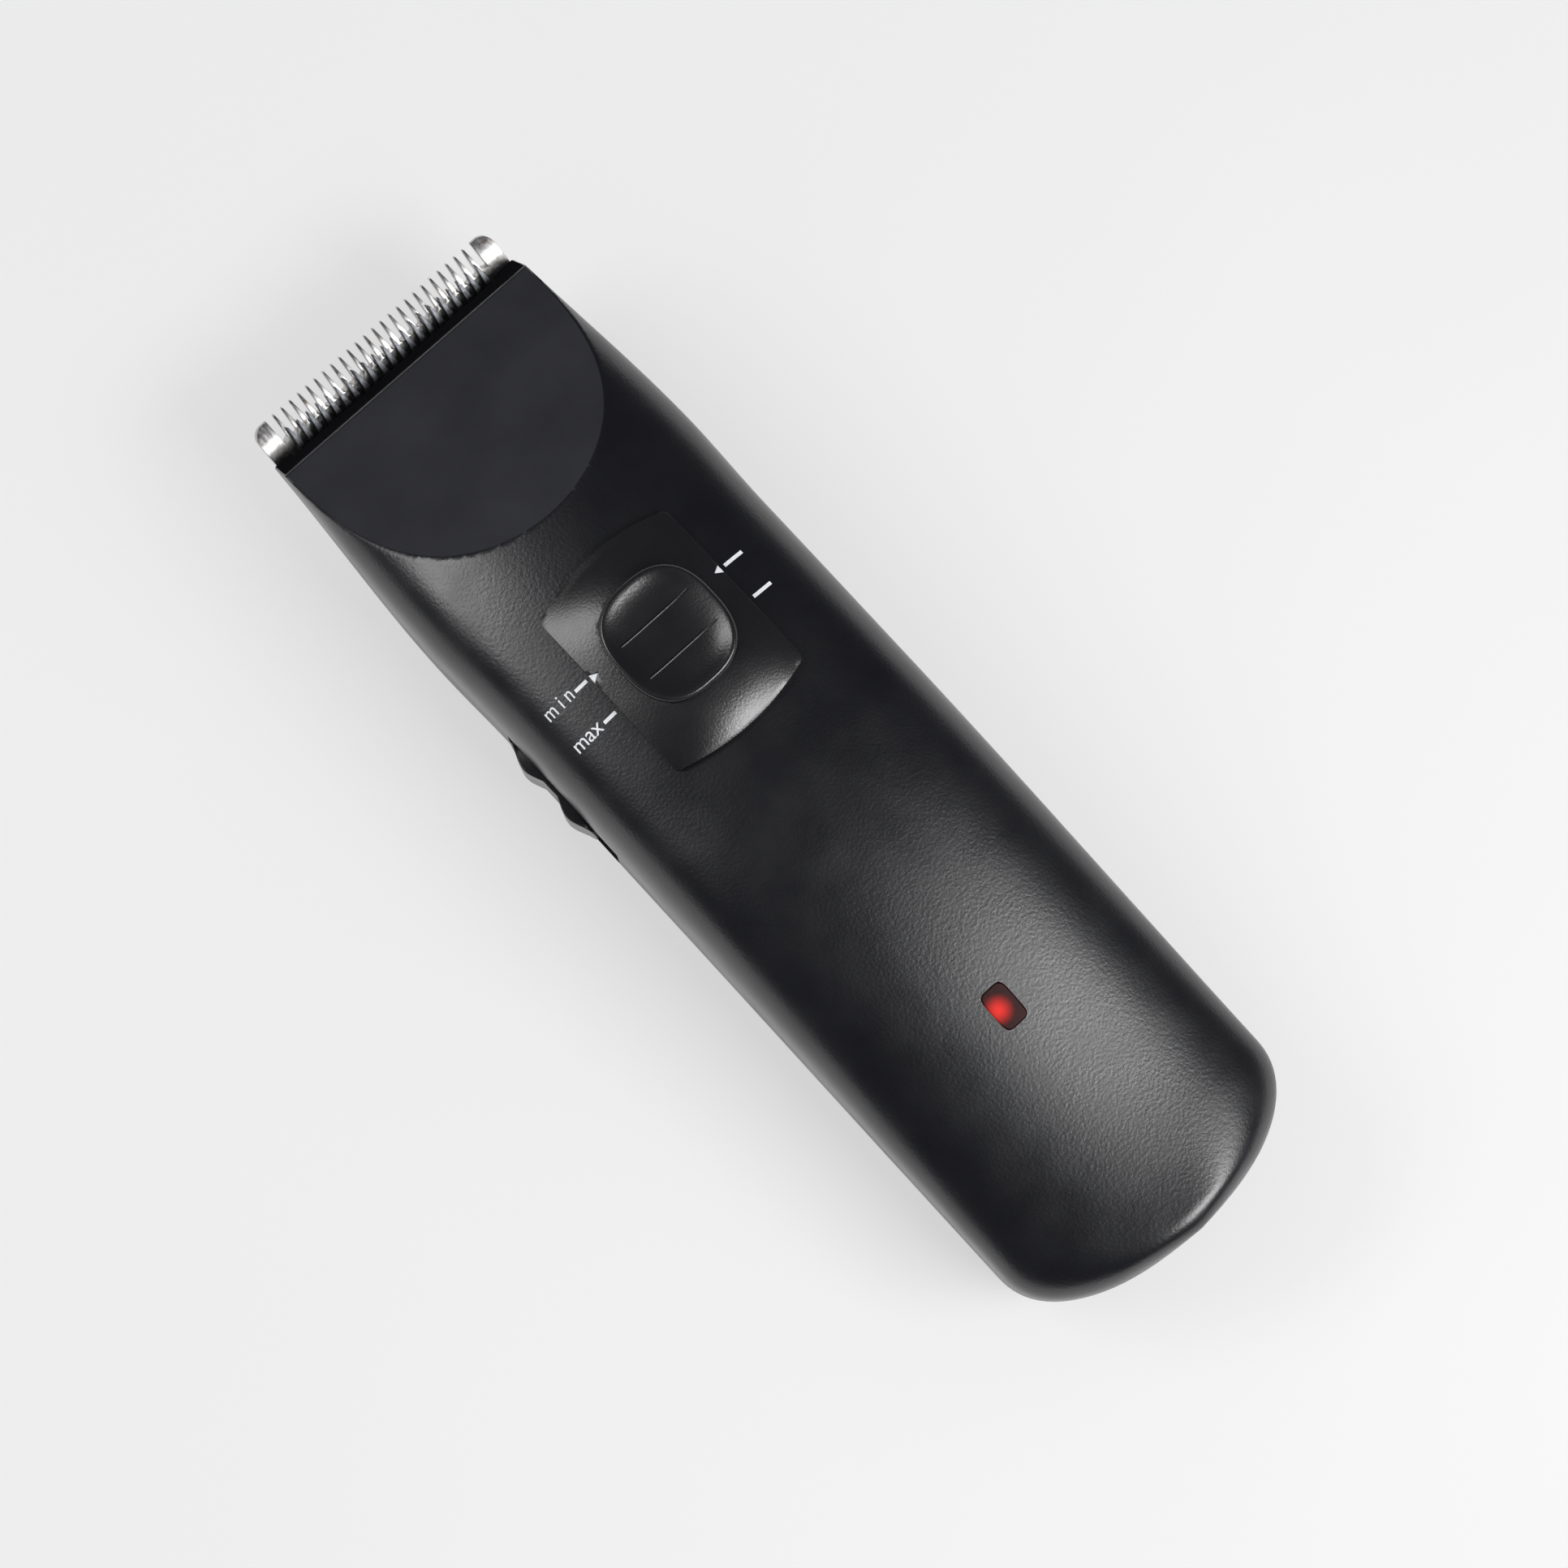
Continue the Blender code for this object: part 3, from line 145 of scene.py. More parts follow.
RIB_LENGTH = 0.0124
RIB_R = 0.00022
RIB_STEPS = 24
RIB_POINTS = 12
SWITCH_Y = -0.01885
SWITCH_LENGTH = 0.0187
SWITCH_HEIGHT = 0.0080
SWITCH_TRAVEL = 0.0040
SWITCH_PROUD = 0.0003
SWITCH_HUMP = 0.0013
SWITCH_CORNER_POWER = 4.0
SWITCH_INSIDE = 0.0006
LED_Y = -0.0865
LENS_WIDTH = 0.0040
LENS_LENGTH = 0.0062
LENS_GAP = 0.00012
LENS_DEPTH = 0.0030
LENS_CORNER_POWER = 5.0
GLOW_X = -0.0010
GLOW_Y = 0.0001
GLOW_REACH = 0.0026
GLOW_BRIGHT = 0.85
GLOW_DIM = 0.012
SOCKET_BORE_R = 0.0033

# Printed marks on the crown
PRINT_LIFT = 0.00003
LEFT_ROWS = (-0.01356, -0.01965)
RIGHT_ROWS = (-0.0144, -0.0205)
TICK_WIDTH = 0.00055
LEFT_TICK = (-0.0147, -0.0125)
RIGHT_TICK = (0.0129, 0.0162)
WORDS = {"min": (-0.01313, 1.5), "max": (-0.0196, 1.0)}
WORD_END_X = -0.0152
WORD_SIZE = 0.0032
WORD_WIDTH = 0.0048

# Softened edges
PLATE_BEVEL = 0.0002
PAD_BEVEL = 0.0003
KNOB_BEVEL = 0.0003
LENS_BEVEL = 0.0002
COMB_BEVEL = 0.00012
CUTTER_BEVEL = 0.00016

# Mesh counts
SECTION_POINTS = 160
STATION_STEP = 0.0012
REAR_STEPS = 22
REAR_LAST_TURN = math.radians(86.0)
OUTLINE_POINTS = 120
PATCH_RINGS = 24
BOW_STEPS = 16
CORNER_STEPS = 8
SIDE_STEPS = 14
ROUND_POINTS = 48
TICK_STEPS = 8
POST_STEPS = 8
COMB_TIP_STEPS = 6
CUTTER_TIP_STEPS = 4
GLYPH_STEPS = 6
SOFT_SEGMENTS = 3

# Finishes: noise between these two values counts, and its scales are per metre
NOISE_LOW = 0.3
NOISE_HIGH = 0.7
MOTTLE = 0.18
MOTTLE_SCALE = 90.0
POLISH_SCALE = 140.0
GRIND_SCALE = 2500.0
GRIND_DEPTH = 0.00002
STAIN_SCALE = 420.0
STAIN_START = 0.57
STAIN_FULL = 0.70
INK_SCALE = 1500.0
WINDOW_SCALE = 700.0

# Camera, as the photograph was taken
CAMERA_TARGET = Vector((-0.00006, -0.04101, 0.0220))
CAMERA_AZIMUTH = math.radians(-42.47)
CAMERA_ELEVATION = math.radians(81.1)
CAMERA_DISTANCE = 0.5358
CAMERA_LENS = 84.97
CAMERA_CLIP = 0.01
SENSOR_WIDTH = 36.0

# Studio
SEEN_RAYS = ("Is Camera Ray", "Is Glossy Ray", "Is Transmission Ray")
FLOOR_HALF = 3.0
FLOOR_TONES = ((0.375, 0.375, 0.380), (0.390, 0.390, 0.395))
FLOOR_SCALE = 6.0
FLOOR_GLOW = 0.49
FLOOR_GAP = 0.00005
PALE_SKY = (0.85, 0.85, 0.86)
DARK_CEILING = (0.055, 0.056, 0.068)
HORIZON_RISE = 0.07
AMBIENT = (0.42, 0.42, 0.425)

FAR = 0.2
SHARP_ANGLE = math.radians(35.0)
CUT_TOLERANCE = 1e-7

HEAD_PIVOT = Vector((
    0.0,
    TIP_Y - COMB_LENGTH * math.cos(COMB_PITCH),
    TIP_Z - COMB_LENGTH * math.sin(COMB_PITCH),
))
HEAD_FRAME = Matrix.Translation(HEAD_PIVOT) @ Matrix.Rotation(COMB_PITCH, 4, "X")
BELLY_RADIUS = (HEAD_PIVOT.z + LAND_SINK) / (1.0 - math.cos(COMB_PITCH))
BELLY_FRONT_Y = HEAD_PIVOT.y - BELLY_RADIUS * math.sin(COMB_PITCH)
NOSE_WIDTH = COMB_WIDTH + 2.0 * COMB_INSET
COMB_SPAN = COMB_WIDTH - 2.0 * (POST_WIDTH + COMB_END_GAP)
COMB_PITCH_X = (COMB_SPAN - COMB_TOOTH_ROOT) / (COMB_TEETH - 1)
COMB_SHOULDER_Y = 0.5 * COMB_LENGTH
CUTTER_WIDTH = COMB_WIDTH - 2.0 * CUTTER_INSET
CUTTER_PITCH_X = (CUTTER_WIDTH - CUTTER_TOOTH_ROOT) / (CUTTER_TEETH - 1)
HEAD_OPENING_WIDTH = CUTTER_WIDTH + 2.0 * (THROW + HEAD_SIDE_GAP)
CUTTER_Z = COMB_THICK + GAP
CUTTER_TIP = COMB_LENGTH - CUTTER_SETBACK
CUTTER_REAR = CUTTER_TIP - CUTTER_DEPTH
FACET_NORMAL = Vector((0.0, math.sin(FACET_PITCH), math.cos(FACET_PITCH)))
NOSE_NORMAL = Vector((0.0, math.cos(NOSE_RAKE), math.sin(NOSE_RAKE)))
PARTING_NORMAL = Vector((0.0, -PARTING_SLOPE, 1.0)).normalized()
RIB_TURNS = [2.0 * HALF_TURN * index / RIB_POINTS for index in range(RIB_POINTS)]


# Form of the housing

def parting_z(y):
    return PARTING_Z + PARTING_SLOPE * y


def smooth(t):
    t = min(max(t, 0.0), 1.0)
    return t * t * (3.0 - 2.0 * t)


def edge_drop(y, inset):
    u = (REAR_Y + inset + REAR_EDGE - y) / REAR_EDGE
    u = min(max(u, 0.0), 1.0)
    return REAR_EDGE * (1.0 - math.sqrt(1.0 - u * u))


def top_z(y):
    front = max(y - TOP_STRAIGHT_START_Y, 0.0) / (FACET_FRONT.y - TOP_STRAIGHT_START_Y)
    rear = (TOP_STRAIGHT_END_Y - y) / (TOP_STRAIGHT_END_Y - REAR_Y)
    return TOP_Z - TOP_FRONT_FALL * front * front - (TOP_Z - REAR_TOP_Z) * smooth(rear)


def bottom_z(y):
    if y >= HEAD_PIVOT.y:
        return HEAD_PIVOT.z + (y - HEAD_PIVOT.y) * math.tan(COMB_PITCH)
    if y >= BELLY_FRONT_Y:
        run = y - BELLY_FRONT_Y
        return BELLY_RADIUS - math.sqrt(BELLY_RADIUS ** 2 - run ** 2) - LAND_SINK
    t = (WAIST_FRONT_Y - y) / (WAIST_FRONT_Y - WAIST_REAR_Y)
    t = min(max(t, 0.0), 1.0)
    return 0.5 * WAIST_RISE * (1.0 - math.cos(2.0 * HALF_TURN * t)) - LAND_SINK


def half_width(y, inset=0.0):
    half = 0.5 * BODY_WIDTH - inset
    start = REAR_Y + REAR_ROUND
    if y < start:
        u = min((start - y) / (REAR_ROUND - inset), 1.0)
        return half * (1.0 - u ** REAR_ROUND_POWER) ** (1.0 / REAR_ROUND_POWER)
    rise = smooth((y - WAIST_FRONT_Y) / (SHOULDER_Y - WAIST_FRONT_Y))
    fall = smooth((y - SHOULDER_Y) / (TIP_Y - SHOULDER_Y))
    shoulder = half + SHOULDER_BULGE * rise
    return shoulder + (0.5 * NOSE_WIDTH - inset - shoulder) * fall


def rounded(share, power):
    """Height of a rounded box, as a share of its full height, at a share of its half width."""
    return (1.0 - min(abs(share), 1.0) ** power) ** (1.0 / power)


def arch(share, height):
    """Height of the upper half of a cross-section: a gentle crown with tight edges."""
    return (height - TOP_SIDE_FALL * share * share) * rounded(share, TOP_POWER)


def crown_z(x, y):
    """Height of the housing's top surface above a point in plan."""
    middle = parting_z(y)
    return middle + arch(x / half_width(y), top_z(y) - middle)


def signed_power(value, power):
    return math.copysign(abs(value) ** power, value)


def section(y, inset):
    middle = parting_z(y)
    drop = edge_drop(y, inset)
    up = top_z(y) - inset - drop - middle
    down = middle - bottom_z(y) - inset - drop
    half = half_width(y, inset)
    points = []
    for index in range(SECTION_POINTS):
        share = math.cos(2.0 * HALF_TURN * index / SECTION_POINTS)
        upper = index <= SECTION_POINTS // 2
        height = arch(share, up) if upper else -down * rounded(share, BOTTOM_POWER)
        points.append(Vector((half * share, y, middle + height)))
    return points


def stations(inset):
    start = TIP_Y
    end = REAR_Y + REAR_ROUND
    count = round((start - end) / STATION_STEP)
    places = [start + (end - start) * index / count for index in range(count)]
    depth = (REAR_ROUND - inset) * REAR_END_SHARE / math.sin(REAR_LAST_TURN)
    for index in range(REAR_STEPS + 1):
        places.append(end - depth * math.sin(REAR_LAST_TURN * index / REAR_STEPS))
    return places


# Mesh helpers

def link(name, mesh):
    obj = bpy.data.objects.new(name, mesh)
    bpy.context.scene.collection.objects.link(obj)
    return obj


def object_from(name, bm):
    bmesh.ops.recalc_face_normals(bm, faces=bm.faces)
    mesh = bpy.data.meshes.new(name)
    bm.to_mesh(mesh)
    bm.free()
    return link(name, mesh)


def loft_mesh(rings):
    bm = bmesh.new()
    loops = [[bm.verts.new(point) for point in ring] for ring in rings]
    for first, second in zip(loops, loops[1:]):
        count = len(first)
        for index in range(count):
            after = (index + 1) % count
            bm.faces.new((first[index], first[after], second[after], second[index]))
    bm.faces.new(loops[0])
    bm.faces.new(loops[-1])
    bmesh.ops.recalc_face_normals(bm, faces=bm.faces)
    return bm


def prism(name, outline, sweep):
    sweep = Vector(sweep)
    start = [Vector(point) for point in outline]
    return object_from(name, loft_mesh([start, [point + sweep for point in start]]))


def box(name, low, high):
    corners = [(low[0], low[1], low[2]), (high[0], low[1], low[2]), (high[0], high[1], low[2]),
               (low[0], high[1], low[2])]
    return prism(name, corners, (0.0, 0.0, high[2] - low[2]))


def rod(name, radius, start, end):
    start = Vector(start)
    span = Vector(end) - start
    angles = [2.0 * HALF_TURN * index / ROUND_POINTS for index in range(ROUND_POINTS)]
    ring = [Vector((radius * math.cos(a), radius * math.sin(a), 0.0)) for a in angles]
    turn = span.to_track_quat("Z", "Y").to_matrix()
    return prism(name, [start + turn @ point for point in ring], span)


def half_space(name, point, normal):
    block = box(name, (-FAR, -FAR, 0.0), (FAR, FAR, FAR))
    turn = Vector(normal).to_track_quat("Z", "Y").to_matrix().to_4x4()
    block.data.transform(Matrix.Translation(Vector(point)) @ turn)
    return block


def in_head_frame(obj):
    obj.data.transform(HEAD_FRAME)
    return obj


def cut(target, *tools):
    for tool in tools:
        modifier = target.modifiers.new("shape", "BOOLEAN")
        modifier.operation = "DIFFERENCE"
        modifier.solver = "EXACT"
        modifier.object = tool
        bpy.context.view_layer.update()
        evaluated = target.evaluated_get(bpy.context.evaluated_depsgraph_get())
        mesh = bpy.data.meshes.new_from_object(evaluated)
        target.modifiers.clear()
        target.data = mesh
        bpy.data.objects.remove(tool)
    return target


def bisect(bm, point, normal, clear=False):
    geom = bm.verts[:] + bm.edges[:] + bm.faces[:]
    result = bmesh.ops.bisect_plane(bm, geom=geom, dist=CUT_TOLERANCE, plane_co=point, plane_no=normal,
                                    clear_outer=clear)
    return [item for item in result["geom_cut"] if isinstance(item, bmesh.types.BMEdge)]


def trim(bm, point, normal, edge):
    """Cut a closed form by a plane and leave the new flat face with a narrow sloping border."""
    if edge:
        bisect(bm, point - normal * edge, normal)
    rim = bisect(bm, point, normal, clear=True)
    verts = list({vert for item in rim for vert in item.verts})
    centre = sum((vert.co for vert in verts), Vector()) / len(verts)
    moves = {}
    for vert in verts:
        ends = [item.other_vert(vert).co for item in vert.link_edges if item in rim]
        along = (ends[0] - ends[-1]).normalized()
        inward = normal.cross(along).normalized()
        if inward.dot(centre - vert.co) < 0.0:
            inward = -inward
        moves[vert] = inward * edge
    for vert, move in moves.items():
        vert.co += move
    bmesh.ops.contextual_create(bm, geom=rim)
    bmesh.ops.recalc_face_normals(bm, faces=bm.faces)


def squircle(half_x, half_y, power):
    points = []
    for index in range(OUTLINE_POINTS):
        angle = 2.0 * HALF_TURN * (index + 0.5) / OUTLINE_POINTS
        points.append((half_x * signed_power(math.cos(angle), 2.0 / power),
                       half_y * signed_power(math.sin(angle), 2.0 / power)))
    return points


def bowed_rectangle(half_x, half_y, bow, corner):
    """Plan outline with straight sides, small round corners and two ends that bow outwards."""
    inner_x = half_x - corner
    quarter = []
    for index in range(BOW_STEPS):
        x = inner_x * index / BOW_STEPS
        quarter.append((x, half_y - bow * (x / inner_x) ** 2))
    for index in range(CORNER_STEPS + 1):
        angle = 0.5 * HALF_TURN * (1.0 - index / CORNER_STEPS)
        quarter.append((inner_x + corner * math.cos(angle), half_y - bow - corner * (1.0 - math.sin(angle))))
    side = quarter[-1][1]
    for index in range(1, SIDE_STEPS):
        quarter.append((half_x, side * (1.0 - index / SIDE_STEPS)))
    right = quarter + [(half_x, 0.0)] + [(x, -y) for x, y in reversed(quarter)]
    left = [(-x, y) for x, y in reversed(right[1:-1])]
    return right + left


def upright(u, v, height):
    return Vector((u, v, height))


def on_left_flank(u, v, height):
    return Vector((-height, u, v))


def patch(name, outline, centre, low, high, place):
    """Solid over a plan outline between two height functions."""
    bm = bmesh.new()
    layers = []
    count = len(outline)
    for height in (low, high):
        middle = bm.verts.new(place(centre[0], centre[1], height(*centre)))
        rings = []
        for ring in range(1, PATCH_RINGS + 1):
            share = ring / PATCH_RINGS
            loop = []
            for u, v in outline:
                u_at = centre[0] + u * share
                v_at = centre[1] + v * share
                loop.append(bm.verts.new(place(u_at, v_at, height(u_at, v_at))))
            rings.append(loop)
        layers.append(rings)
        for index in range(count):
            after = (index + 1) % count
            bm.faces.new((middle, rings[0][index], rings[0][after]))
            for inner, outer in zip(rings, rings[1:]):
                bm.faces.new((inner[index], outer[index], outer[after], inner[after]))
    lower = layers[0][-1]
    upper = layers[1][-1]
    for index in range(count):
        after = (index + 1) % count
        bm.faces.new((lower[index], lower[after], upper[after], upper[index]))
    return object_from(name, bm)


def shade(obj, bevel=0.0, segments=2):
    """Smooth faces with crisp edges, optionally softened."""
    obj.data.shade_smooth()
    obj.data.set_sharp_from_angle(angle=SHARP_ANGLE)
    if bevel:
        modifier = obj.modifiers.new("edges", "BEVEL")
        modifier.width = bevel
        modifier.segments = segments
        modifier.limit_method = "ANGLE"
        modifier.angle_limit = SHARP_ANGLE
        modifier.use_clamp_overlap = True
    normals = obj.modifiers.new("normals", "WEIGHTED_NORMAL")
    normals.keep_sharp = not bevel
    normals.weight = 100


# Materials

class Tree:
    """Small helper for building one material's nodes."""

    def __init__(self, name):
        self.material = bpy.data.materials.new(name)
        self.material.use_nodes = True
        self.nodes = self.material.node_tree.nodes
        self.shader = self.nodes["Principled BSDF"]
        self.place = self.add("ShaderNodeTexCoord").outputs["Object"]

    def add(self, kind, **values):
        node = self.nodes.new(kind)
        for key, value in values.items():
            setattr(node, key, value)
        return node

    def join(self, output, target):
        self.material.node_tree.links.new(output, target)

    def set(self, **values):
        for key, value in values.items():
            self.shader.inputs[key.replace("_", " ")].default_value = value

    def noise(self, scale, detail=3.0, stretch=None, roughness=0.5):
        node = self.add("ShaderNodeTexNoise")
        node.inputs["Scale"].default_value = scale
        node.inputs["Detail"].default_value = detail
        node.inputs["Roughness"].default_value = roughness
        source = self.place
        if stretch:
            mapping = self.add("ShaderNodeMapping")
            mapping.inputs["Scale"].default_value = stretch
            self.join(source, mapping.inputs["Vector"])
            source = mapping.outputs["Vector"]
        self.join(source, node.inputs["Vector"])
        return node.outputs["Fac"]

    def ramp(self, source, stops):
        node = self.add("ShaderNodeValToRGB")
        elements = node.color_ramp.elements
        while len(elements) < len(stops):
            elements.new(0.5)
        for element, (position, colour) in zip(elements, stops):
            element.position = position
            element.color = (*colour, 1.0)
        self.join(source, node.inputs["Fac"])
        return node.outputs["Color"]

    def span(self, source, low, high):
        node = self.add("ShaderNodeMapRange")
        node.inputs["From Min"].default_value = NOISE_LOW
        node.inputs["From Max"].default_value = NOISE_HIGH
        node.inputs["To Min"].default_value = low
        node.inputs["To Max"].default_value = high
        self.join(source, node.inputs["Value"])
        return node.outputs["Result"]

    def bump(self, source, strength, distance):
        node = self.add("ShaderNodeBump")
        node.inputs["Strength"].default_value = strength
        node.inputs["Distance"].default_value = distance
        self.join(source, node.inputs["Height"])
        self.join(node.outputs["Normal"], self.shader.inputs["Normal"])


def plastic(name, colour, roughness, grain_size=0.0, grain_depth=0.0, specular=0.5):
    """Moulded plastic with faint mottling and an optional spark-eroded grain."""
    tree = Tree(name)
    tree.set(Metallic=0.0, Specular_IOR_Level=specular)
    cloud = tree.noise(MOTTLE_SCALE, 4.0)
    dark = tuple((1.0 - MOTTLE) * value for value in colour)
    light = tuple((1.0 + MOTTLE) * value for value in colour)
    tree.join(tree.ramp(cloud, [(NOISE_LOW, dark), (NOISE_HIGH, light)]), tree.shader.inputs["Base Color"])
    polish = tree.span(tree.noise(POLISH_SCALE), roughness - 0.03, roughness + 0.04)
    tree.join(polish, tree.shader.inputs["Roughness"])
    if grain_size:
        tree.bump(tree.noise(1.0 / grain_size, 2.0), 1.0, grain_depth)
    return tree.material


def steel(name, light, dark, roughness, stretch, stain=None):
    """Ground steel with fine grinding lines and optional brown stains."""
    tree = Tree(name)
    tree.set(Metallic=1.0)
    lines = tree.noise(GRIND_SCALE, 3.0, stretch)
    colour = tree.ramp(lines, [(NOISE_LOW, dark), (NOISE_HIGH, light)])
    if stain:
        spots = tree.ramp(tree.noise(STAIN_SCALE, 5.0, None, 0.65),
                          [(STAIN_START, (0.0, 0.0, 0.0)), (STAIN_FULL, (1.0, 1.0, 1.0))])
        mix = tree.add("ShaderNodeMix", data_type="RGBA")
        tree.join(spots, mix.inputs["Factor"])
        tree.join(colour, mix.inputs["A"])
        mix.inputs["B"].default_value = (*stain, 1.0)
        colour = mix.outputs["Result"]
    tree.join(colour, tree.shader.inputs["Base Color"])
    tree.join(tree.span(lines, roughness - 0.06, roughness + 0.08), tree.shader.inputs["Roughness"])
    tree.bump(lines, 0.25, GRIND_DEPTH)
    return tree.material


def paint(name, colour):
    """Screen-printed white ink."""
    tree = Tree(name)
    tree.set(Roughness=0.55)
    thin = tuple(0.9 * value for value in colour)
    ink = tree.ramp(tree.noise(INK_SCALE), [(NOISE_LOW, thin), (0.6, colour)])
    tree.join(ink, tree.shader.inputs["Base Color"])
    return tree.material


def red_lens_material():
    """Dark red window, lit from below at its left."""
    tree = Tree("lit_red_lens")
    tree.set(Roughness=0.35, Specular_IOR_Level=0.15)
    window = tree.ramp(tree.noise(WINDOW_SCALE),
                       [(NOISE_LOW, (0.010, 0.002, 0.002)), (NOISE_HIGH, (0.026, 0.004, 0.004))])
    tree.join(window, tree.shader.inputs["Base Color"])
    offset = tree.add("ShaderNodeVectorMath", operation="DISTANCE")
    tree.join(tree.place, offset.inputs[0])
    offset.inputs[1].default_value = (GLOW_X, LED_Y + GLOW_Y, crown_z(0.0, LED_Y))
    fall = tree.add("ShaderNodeMapRange", interpolation_type="SMOOTHSTEP")
    fall.inputs["From Min"].default_value = 0.0
    fall.inputs["From Max"].default_value = GLOW_REACH
    fall.inputs["To Min"].default_value = GLOW_BRIGHT
    fall.inputs["To Max"].default_value = GLOW_DIM
    tree.join(offset.outputs["Value"], fall.inputs["Value"])
    tree.set(Emission_Color=(1.0, 0.03, 0.02, 1.0))
    tree.join(fall.outputs["Result"], tree.shader.inputs["Emission Strength"])
    return tree.material


SATIN = plastic("satin_black_grain", (0.0026, 0.0028, 0.0046), 0.32, 0.00048, 0.000030, specular=1.0)
FACET = plastic("smooth_black_facet", (0.0195, 0.0200, 0.0265), 0.50)
CONTROL = plastic("control_black", (0.0070, 0.0070, 0.0078), 0.28, 0.00040, 0.000022, specular=1.0)
GLOSS = plastic("smooth_black", (0.010, 0.010, 0.011), 0.26)
GREY = plastic("grey_moulding", (0.30, 0.30, 0.31), 0.50, 0.0004, 0.00001)
PALE = plastic("natural_moulding", (0.72, 0.71, 0.67), 0.45, 0.0004, 0.00001)
GREEN = plastic("board_mask", (0.03, 0.16, 0.07), 0.45, 0.0006, 0.00001)
WRAP = plastic("cell_wrap", (0.05, 0.18, 0.40), 0.35, 0.0010, 0.00001)
RED = plastic("red_dome", (0.40, 0.02, 0.02), 0.20, 0.0006, 0.000005)
# Lip in front of the blade: black with no reflection, painted shade for the shadowed gap under the housing's
# front edge.
PAINTED_SHADE_NOSE = plastic("shaded_nose", (0.0070, 0.0070, 0.0080), 0.60, specular=0.0)
BLADE = steel("ground_blade", (0.66, 0.65, 0.64), (0.40, 0.39, 0.38), 0.33, (1.0, 0.08, 1.0),
              stain=(0.17, 0.12, 0.08))
# The cutter's steel is much darker than the comb's: painted shade for the shadow the cutter lies in.
PAINTED_SHADE_CUTTER = steel("ground_cutter_painted_shade", (0.26, 0.27, 0.29), (0.15, 0.155, 0.17), 0.34, (1.0, 0.08, 1.0))
PLAIN = steel("plain_steel", (0.62, 0.62, 0.63), (0.45, 0.45, 0.46), 0.32, (1.0, 0.3, 1.0))
INK = paint("white_ink", (0.86, 0.88, 0.91))
LIT_RED = red_lens_material()


def use(obj, *materials):
    obj.data.materials.clear()
    for item in materials:
        obj.data.materials.append(item)


def mount(obj, body, slot, *nodes):
    """Let a piece ride on a body and stand for CAD nodes. The slot is not used."""
    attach(obj, body)
    if nodes:
        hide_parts(*nodes)
    return obj


# Shells

def column_places():
    return [(side * COLUMN_X, y) for y in (COLUMN_FRONT_Y, COLUMN_REAR_Y) for side in (-1.0, 1.0)]


def outer_form():
    """Housing without its hollow, cut away for the comb, the cutter's slot and the well of the blade base."""
    bm = loft_mesh([section(y, 0.0) for y in stations(0.0)])
    trim(bm, Vector(), Vector((0.0, 0.0, -1.0)), 0.0)
    trim(bm, FACET_FRONT, FACET_NORMAL, FACET_EDGE)
    trim(bm, FACET_FRONT, NOSE_NORMAL, FACET_EDGE)
    outer = object_from("housing_form", bm)
    seat = box("seat", (-FAR, -GAP, -FAR), (FAR, FAR, CUTTER_Z))
    slot_half = 0.5 * HEAD_OPENING_WIDTH
    slot_rear = CUTTER_REAR - TAPER_SHIFT - RUN_GAP
    opening = box("opening", (-slot_half, slot_rear, -WALL), (slot_half, FAR, HEAD_SLOT_HEIGHT))
    well_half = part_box("blade_base")[1].x + RUN_GAP
    well = box("well", (-well_half, 0.0, -WALL), (well_half, FAR, HEAD_SLOT_HEIGHT))
    return cut(outer, in_head_frame(seat), in_head_frame(opening), in_head_frame(well))


def hollow_form():
    bm = loft_mesh([section(y, WALL) for y in stations(WALL)])
    trim(bm, FACET_FRONT - FACET_NORMAL * WALL, FACET_NORMAL, 0.0)
    trim(bm, FACET_FRONT - NOSE_NORMAL * WALL, NOSE_NORMAL, 0.0)
    inner = object_from("hollow_form", bm)
    for x, y in column_places():
        cut(inner, rod("column", COLUMN_R, (x, y, -WALL), (x, y, TOP_Z)))
    return inner


def switch_slot():
    rear = SWITCH_Y - 0.5 * SWITCH_LENGTH - SWITCH_TRAVEL - RUN_GAP
    front = SWITCH_Y + 0.5 * SWITCH_LENGTH + RUN_GAP
    reach = 0.5 * SWITCH_HEIGHT + RUN_GAP
    middle = parting_z(SWITCH_Y)
    inside = 0.5 * BODY_WIDTH - 2.0 * WALL
    return box("switch_slot", (-BODY_WIDTH, rear, middle - reach), (-inside, front, middle + reach))


def inlet_hole():
    z = parting_z(REAR_Y)
    return rod("inlet", SOCKET_BORE_R, (0.0, REAR_Y - WALL, z), (0.0, REAR_Y + 2.0 * WALL, z))


def paint_facet(obj):
    """Own materials on the smooth flat face behind the blade and on the lip in front of it; the lip's black,
    non-reflecting finish is painted shade.
    """
    use(obj, SATIN, FACET, PAINTED_SHADE_NOSE)
    for face in obj.data.polygons:
        for index, normal in ((1, FACET_NORMAL), (2, NOSE_NORMAL)):
            on_plane = abs((face.center - FACET_FRONT).dot(normal)) < 0.5 * FACET_EDGE
            if on_plane and face.normal.dot(normal) > FLAT_MATCH:
                face.material_index = index


